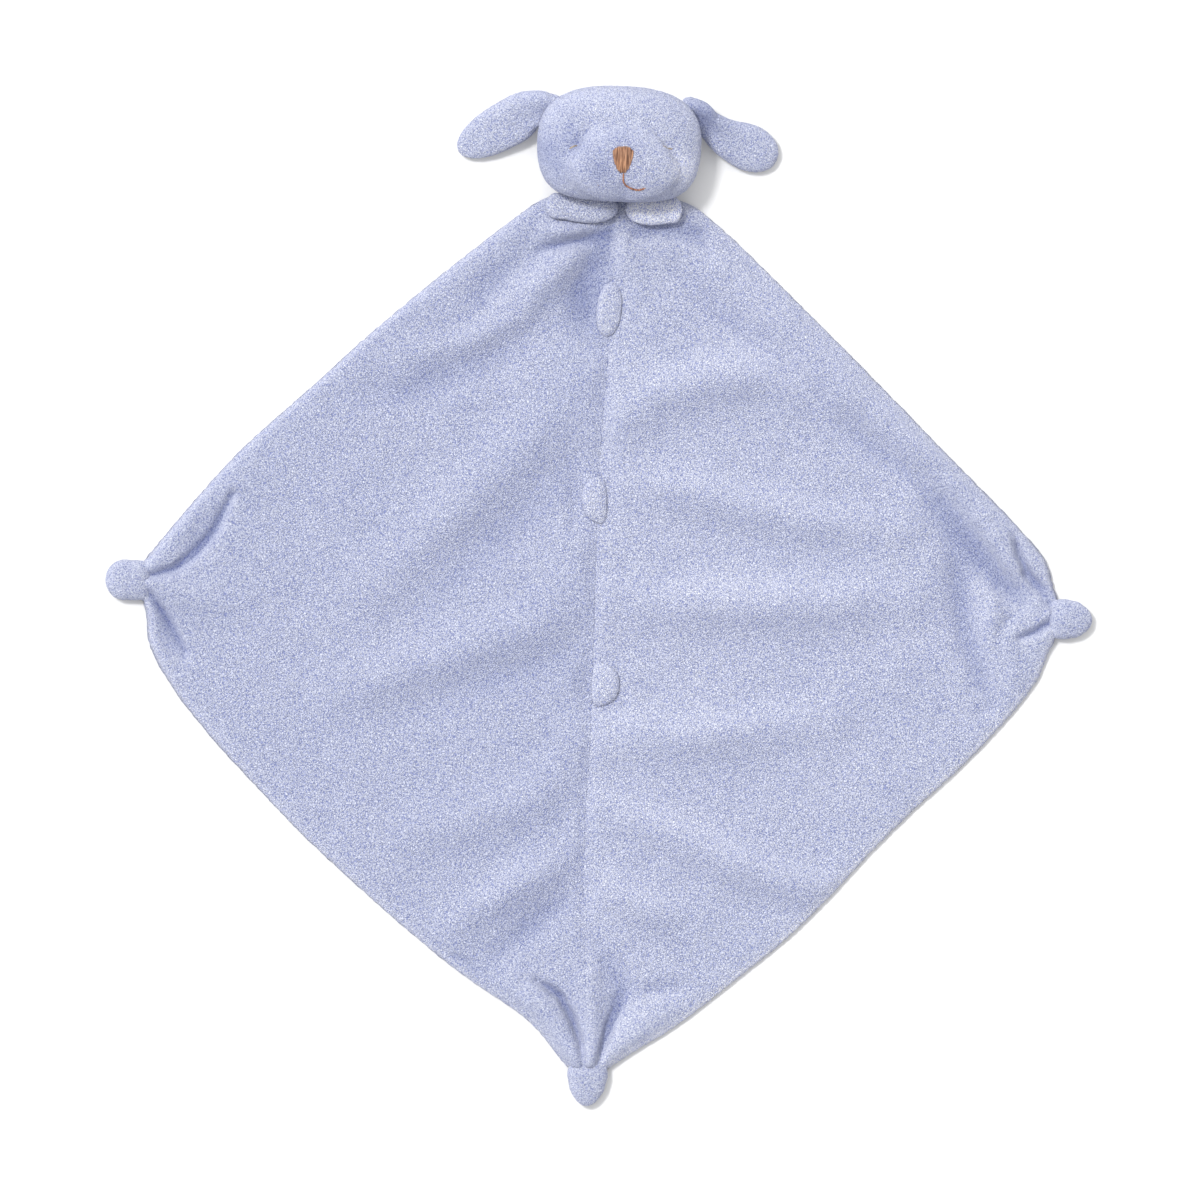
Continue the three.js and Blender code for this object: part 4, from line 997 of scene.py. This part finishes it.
def neck_gather():
    """The gather in the blanket's corner, hidden under the chin."""
    low, high = node_box("neck_gather")
    centre, radius, half = (low + high) / 2, (high[0] - low[0]) / 2, (high[2] - low[2]) / 2
    count, rings = 90, 24
    spin = ring_angles(count)
    made = []
    for angle in np.linspace(-math.pi / 2, math.pi / 2, rings + 2)[1:-1]:
        r = radius * math.cos(angle) ** 0.5 * (1 + 0.05 * np.sin(14 * spin))
        z = np.full(count, half * math.sin(angle))
        made.append(centre + xyz(r * np.cos(spin), r * np.sin(spin), z))
    piece = ring_piece("neck_gather_plush", "neck", made, centre - [0, 0, half], centre + [0, 0, half])
    return stands_for(piece, "plush", "neck_gather")


# Materials

def linear(*colour):
    """A colour written as it looks, from 0 to 255, as the shader's numbers."""
    shares = [c / 255 for c in colour]
    return (*(c / 12.92 if c <= 0.04045 else ((c + 0.055) / 1.055) ** 2.4 for c in shares), 1)


def new_material(name):
    material = bpy.data.materials.new(name)
    material.use_nodes = True
    tree = material.node_tree
    shader = tree.nodes["Principled BSDF"]
    return material, tree, shader


def add_node(tree, kind, **values):
    made = tree.nodes.new("ShaderNode" + kind)
    for key, value in values.items():
        if key in made.inputs:
            made.inputs[key].default_value = value
        else:
            setattr(made, key, value)
    return made


def link(output, socket):
    output.id_data.links.new(output, socket)


def set_values(node, values):
    for name, value in values.items():
        node.inputs[name].default_value = value


def noise_node(tree, vector, scale, detail=2.0):
    made = add_node(tree, "TexNoise", Scale=scale, Detail=detail)
    link(vector, made.inputs["Vector"])
    return made


def scaled(tree, output, factor, added):
    """A number times a factor, plus a number or another output."""
    made = add_node(tree, "Math", operation="MULTIPLY_ADD")
    link(output, made.inputs[0])
    made.inputs[1].default_value = factor
    if isinstance(added, float):
        made.inputs[2].default_value = added
    else:
        link(added, made.inputs[2])
    return made.outputs["Value"]


def add_bump(tree, shader, height, strength, distance):
    bump = add_node(tree, "Bump", Strength=strength, Distance=distance)
    link(height, bump.inputs["Height"])
    link(bump.outputs["Normal"], shader.inputs["Normal"])


def mixed(tree, factor, a, b, start=0.34, end=0.66):
    """A ramp between two colours by a factor."""
    ramp = add_node(tree, "ValToRGB")
    low, high = ramp.color_ramp.elements
    low.color, low.position = a, start
    high.color, high.position = b, end
    link(factor, ramp.inputs["Fac"])
    return ramp.outputs["Color"]


def multiplied(tree, a, b):
    """One colour times another, by the places of the colour sockets on the node."""
    made = add_node(tree, "Mix", data_type="RGBA", blend_type="MULTIPLY")
    made.inputs[0].default_value = 1.0
    link(a, made.inputs[6])
    link(b, made.inputs[7])
    return made.outputs[2]


# Painted light and shade as a colour to multiply by: -2 is the painted shade of the deepest hollow, 0 plain,
# 2 the palest painted rim
TONES = [
    (-2, (0.38, 0.42, 0.6)), (-1, (0.71, 0.735, 0.83)), (0, (0.88, 0.89, 0.93)), (1, (1, 1, 1)),
    (2, (1.42, 1.4, 1.36)),
]
TONE_TOP = 1.5


def painted_shade_colour(tree):
    tone = add_node(tree, "Attribute", attribute_name="tone")
    share = scaled(tree, tone.outputs["Fac"], 0.25, 0.5)
    ramp = add_node(tree, "ValToRGB")
    ends = ramp.color_ramp.elements
    for k, (level, colour) in enumerate(TONES):
        place = level / 4 + 0.5
        stop = ends[0] if k == 0 else ends[-1] if k == len(TONES) - 1 else ends.new(place)
        stop.position = place
        stop.color = (*(c / TONE_TOP for c in colour), 1)
    link(share, ramp.inputs["Fac"])
    raise_up = add_node(tree, "VectorMath", operation="SCALE", Scale=TONE_TOP)
    link(ramp.outputs["Color"], raise_up.inputs[0])
    return raise_up.outputs["Vector"]


# Noise scales, in lumps a metre: the curls, the fibres in them, what bends them, and soft patches
# with their deepest colour. Then how curls and fibres make up the height that colour and bump follow
CURL_SCALE, FIBRE_SCALE, BEND_SCALE = 1690.0, 2080.0, 980.0
PATCHES = ((130.0, (0.975, 0.978, 0.985, 1)), (22.0, (0.97, 0.975, 0.985, 1)))
BEND = 0.001
CURL_SHARE, CURL_LEVEL, FIBRE_SHARE = -0.8, 0.45, 0.35
CURL_DARK, CURL_LIGHT = 0.02, 0.47
STRAND_SCALE, STRAND_STRETCH = 420.0, (3.0, 0.35, 1.0)


def plush_material(name, dark, light):
    """Short curly pile: half-millimetre curls that catch the light, over broad soft patches."""
    material, tree, shader = new_material(name)
    where = add_node(tree, "TexCoord").outputs["Object"]
    warp = noise_node(tree, where, BEND_SCALE, 0.0)
    push = add_node(tree, "VectorMath", operation="MULTIPLY_ADD")
    push.inputs[1].default_value = (BEND, BEND, BEND)
    link(warp.outputs["Color"], push.inputs[0])
    link(where, push.inputs[2])
    fine = noise_node(tree, push.outputs["Vector"], FIBRE_SCALE, 0.0)
    loops = add_node(tree, "TexVoronoi", Scale=CURL_SCALE, feature="F1")
    link(push.outputs["Vector"], loops.inputs["Vector"])
    curls = scaled(tree, loops.outputs["Distance"], CURL_SHARE, CURL_LEVEL)
    height = scaled(tree, fine.outputs["Fac"], FIBRE_SHARE, curls)
    colour = mixed(tree, height, dark, light, CURL_DARK, CURL_LIGHT)
    for scale, deep in PATCHES:
        soft = noise_node(tree, where, scale)
        colour = multiplied(tree, colour, mixed(tree, soft.outputs["Fac"], deep, (1, 1, 1, 1)))
    # Painted light and shade: the colour times each point's painted tone
    colour = multiplied(tree, colour, painted_shade_colour(tree))
    colour.node.clamp_result = True
    link(colour, shader.inputs["Base Color"])
    set_values(shader, {
        "Roughness": 1.0, "Specular IOR Level": 0.1, "Sheen Weight": 0.8, "Sheen Roughness": 0.5,
        "Sheen Tint": linear(214, 219, 245),
    })
    add_bump(tree, shader, height, 1.0, 0.001)
    return material


def thread_material(name, dark, light, roughness):
    """Stranded thread: fine streaks, colour that changes from strand to strand."""
    material, tree, shader = new_material(name)
    stretch = add_node(tree, "Mapping", Scale=STRAND_STRETCH)
    link(add_node(tree, "TexCoord").outputs["Object"], stretch.inputs["Vector"])
    strands = noise_node(tree, stretch.outputs["Vector"], STRAND_SCALE)
    link(mixed(tree, strands.outputs["Fac"], dark, light), shader.inputs["Base Color"])
    set_values(shader, {"Roughness": roughness, "Specular IOR Level": 0.4, "Sheen Weight": 0.2})
    add_bump(tree, shader, strands.outputs["Fac"], 0.5, 0.0002)
    return material


def dress(material, *pieces):
    for piece in pieces:
        piece.data.materials.clear()
        piece.data.materials.append(material)


# The object

plush = plush_material("lavender_plush", linear(134, 142, 184), linear(246, 248, 255))
back_plush = plush_material("lavender_plush_back", linear(132, 140, 182), linear(242, 244, 255))
nose_look = thread_material("nose_thread_look", linear(100, 64, 44), linear(184, 137, 105), 0.5)
mouth_look = thread_material("mouth_thread_look", linear(110, 68, 48), linear(176, 120, 88), 0.6)
eye_look = thread_material("eye_thread_look", linear(124, 108, 90), linear(178, 162, 138), 0.6)
tie_look = thread_material("drawing_thread_look", linear(150, 157, 188), linear(190, 196, 224), 0.6)

halves = [
    front_half("blanket_left_plush", "blanket_front_left", SIDES["left"]),
    front_half("blanket_right_plush", "blanket_front_right", SIDES["right"]),
]
back = back_layer()
head = head_cover()
ears = [
    ear("ear_left", [(0, 0), (0.22, -0.1), (0.57, -0.31), (0.95, -0.545)], 42.0,
        {"root_width": 8.0, "width": 12.4, "swell": (0.0, 0.38), "tip": 0.56, "taper": 0.16}, 1.8, 61),
    ear("ear_right", [(0, 0), (0.1, -0.12), (0.34, -0.28), (0.625, -0.39), (0.96, -0.53)], 40.3,
        {"root_width": 6.2, "width": 11.4, "swell": (0.15, 0.75), "tip": 0.7}, 2.6, 62),
]
arms = [arm("arm_left", 31.4, 4.6, 1.0, 71), arm("arm_right", 24.4, 3.4, 2.0, 72)]
nubs = [
    nub("knot_left", (-1, 0, 0), 19.0, 0.05, 81),
    nub("knot_right", (1, 0, 0), 18.0, 0.35, 82),
    nub("knot_bottom", (0, -1, 0), 19.6, 0.4, 83),
]
tabs = [tab("tab_upper", 91), tab("tab_middle", 92), tab("tab_lower", 93)]
gather = neck_gather()
nose_piece = nose()
mouth_piece = mouth()
eyes = [
    eye("eye_left_thread", "eye_left_stitch", [(-24.9, -3.6), (-22.8, -2.3), (-20.8, -1.8)]),
    eye("eye_right_thread", "eye_right_stitch", [(21.9, -0.4), (24.3, -1.5), (26.8, -1.7)]),
]
dress(plush, *halves, head, *ears, *arms, *nubs, *tabs, gather, frame["nodes"]["neck_cuff"])
dress(back_plush, back)
dress(nose_look, nose_piece)
dress(mouth_look, mouth_piece)
dress(eye_look, *eyes)
dress(tie_look, frame["nodes"]["neck_tie"])


# Camera, light and floor

CAMERA_DISTANCE, FRAME_WIDTH, SENSOR_WIDTH = 14.0, 0.612, 36.0
PHOTO_CENTRE = (0.0013, -0.0020)
PHOTO_TURN = math.radians(2.2)
WORLD_LIGHT = 0.69
# Each lamp: strength, spread in degrees, and the direction to it
LAMPS = {
    "soft_light": (1.14, 60, (-0.3, 0.5, 1.5)),
    "edge_light": (2.05, 9, (-0.34, 0.27, 1.0)),
}
FLOOR_GREY, FLOOR_GLOW, FLOOR_HALF, FLOOR_DROP = 0.74, 0.04, 6.0, 0.0002


def camera():
    """Straight above, turned with the photo, far enough off to look flat."""
    data = bpy.data.cameras.new("camera")
    made = add_object("camera", data)
    data.sensor_width = SENSOR_WIDTH
    data.lens = SENSOR_WIDTH * CAMERA_DISTANCE / FRAME_WIDTH
    data.clip_end = 60
    made.location = (*PHOTO_CENTRE, CAMERA_DISTANCE)
    made.rotation_euler = (0, 0, PHOTO_TURN)
    bpy.context.scene.camera = made


def lamps():
    """A wide soft light from the top of the picture and a smaller one that draws the edge shadows."""
    world = bpy.data.worlds.new("studio")
    bpy.context.scene.world = world
    world.use_nodes = True
    set_values(world.node_tree.nodes["Background"], {"Color": (1, 1, 1, 1), "Strength": WORLD_LIGHT})
    for name, (energy, spread, toward) in LAMPS.items():
        data = bpy.data.lights.new(name, "SUN")
        data.energy = energy
        data.angle = math.radians(spread)
        lamp = add_object(name, data)
        lamp.rotation_euler = Vector(toward).to_track_quat("Z", "Y").to_euler()


def floor():
    """A plain white floor that keeps the soft shadow."""
    size = FLOOR_HALF
    corners = [(x, y, -FLOOR_DROP) for x, y in ((-size, -size), (size, -size), (size, size), (-size, size))]
    piece = make_piece("floor", np.array(corners) / MM, [(0, 1, 2, 3)], None)
    material, tree, shader = new_material("floor_white")
    grey = (FLOOR_GREY, FLOOR_GREY, FLOOR_GREY, 1)
    set_values(shader, {"Base Color": grey, "Roughness": 1, "Specular IOR Level": 0})
    light = add_node(tree, "Emission", Strength=FLOOR_GLOW)
    path = add_node(tree, "LightPath")
    both = add_node(tree, "AddShader")
    choose = add_node(tree, "MixShader")
    link(shader.outputs["BSDF"], both.inputs[0])
    link(light.outputs["Emission"], both.inputs[1])
    link(path.outputs["Is Camera Ray"], choose.inputs["Fac"])
    link(shader.outputs["BSDF"], choose.inputs[1])
    link(both.outputs["Shader"], choose.inputs[2])
    link(choose.outputs["Shader"], tree.nodes["Material Output"].inputs["Surface"])
    dress(material, piece)


camera()
lamps()
floor()
bpy.context.scene.view_settings.view_transform = "Standard"
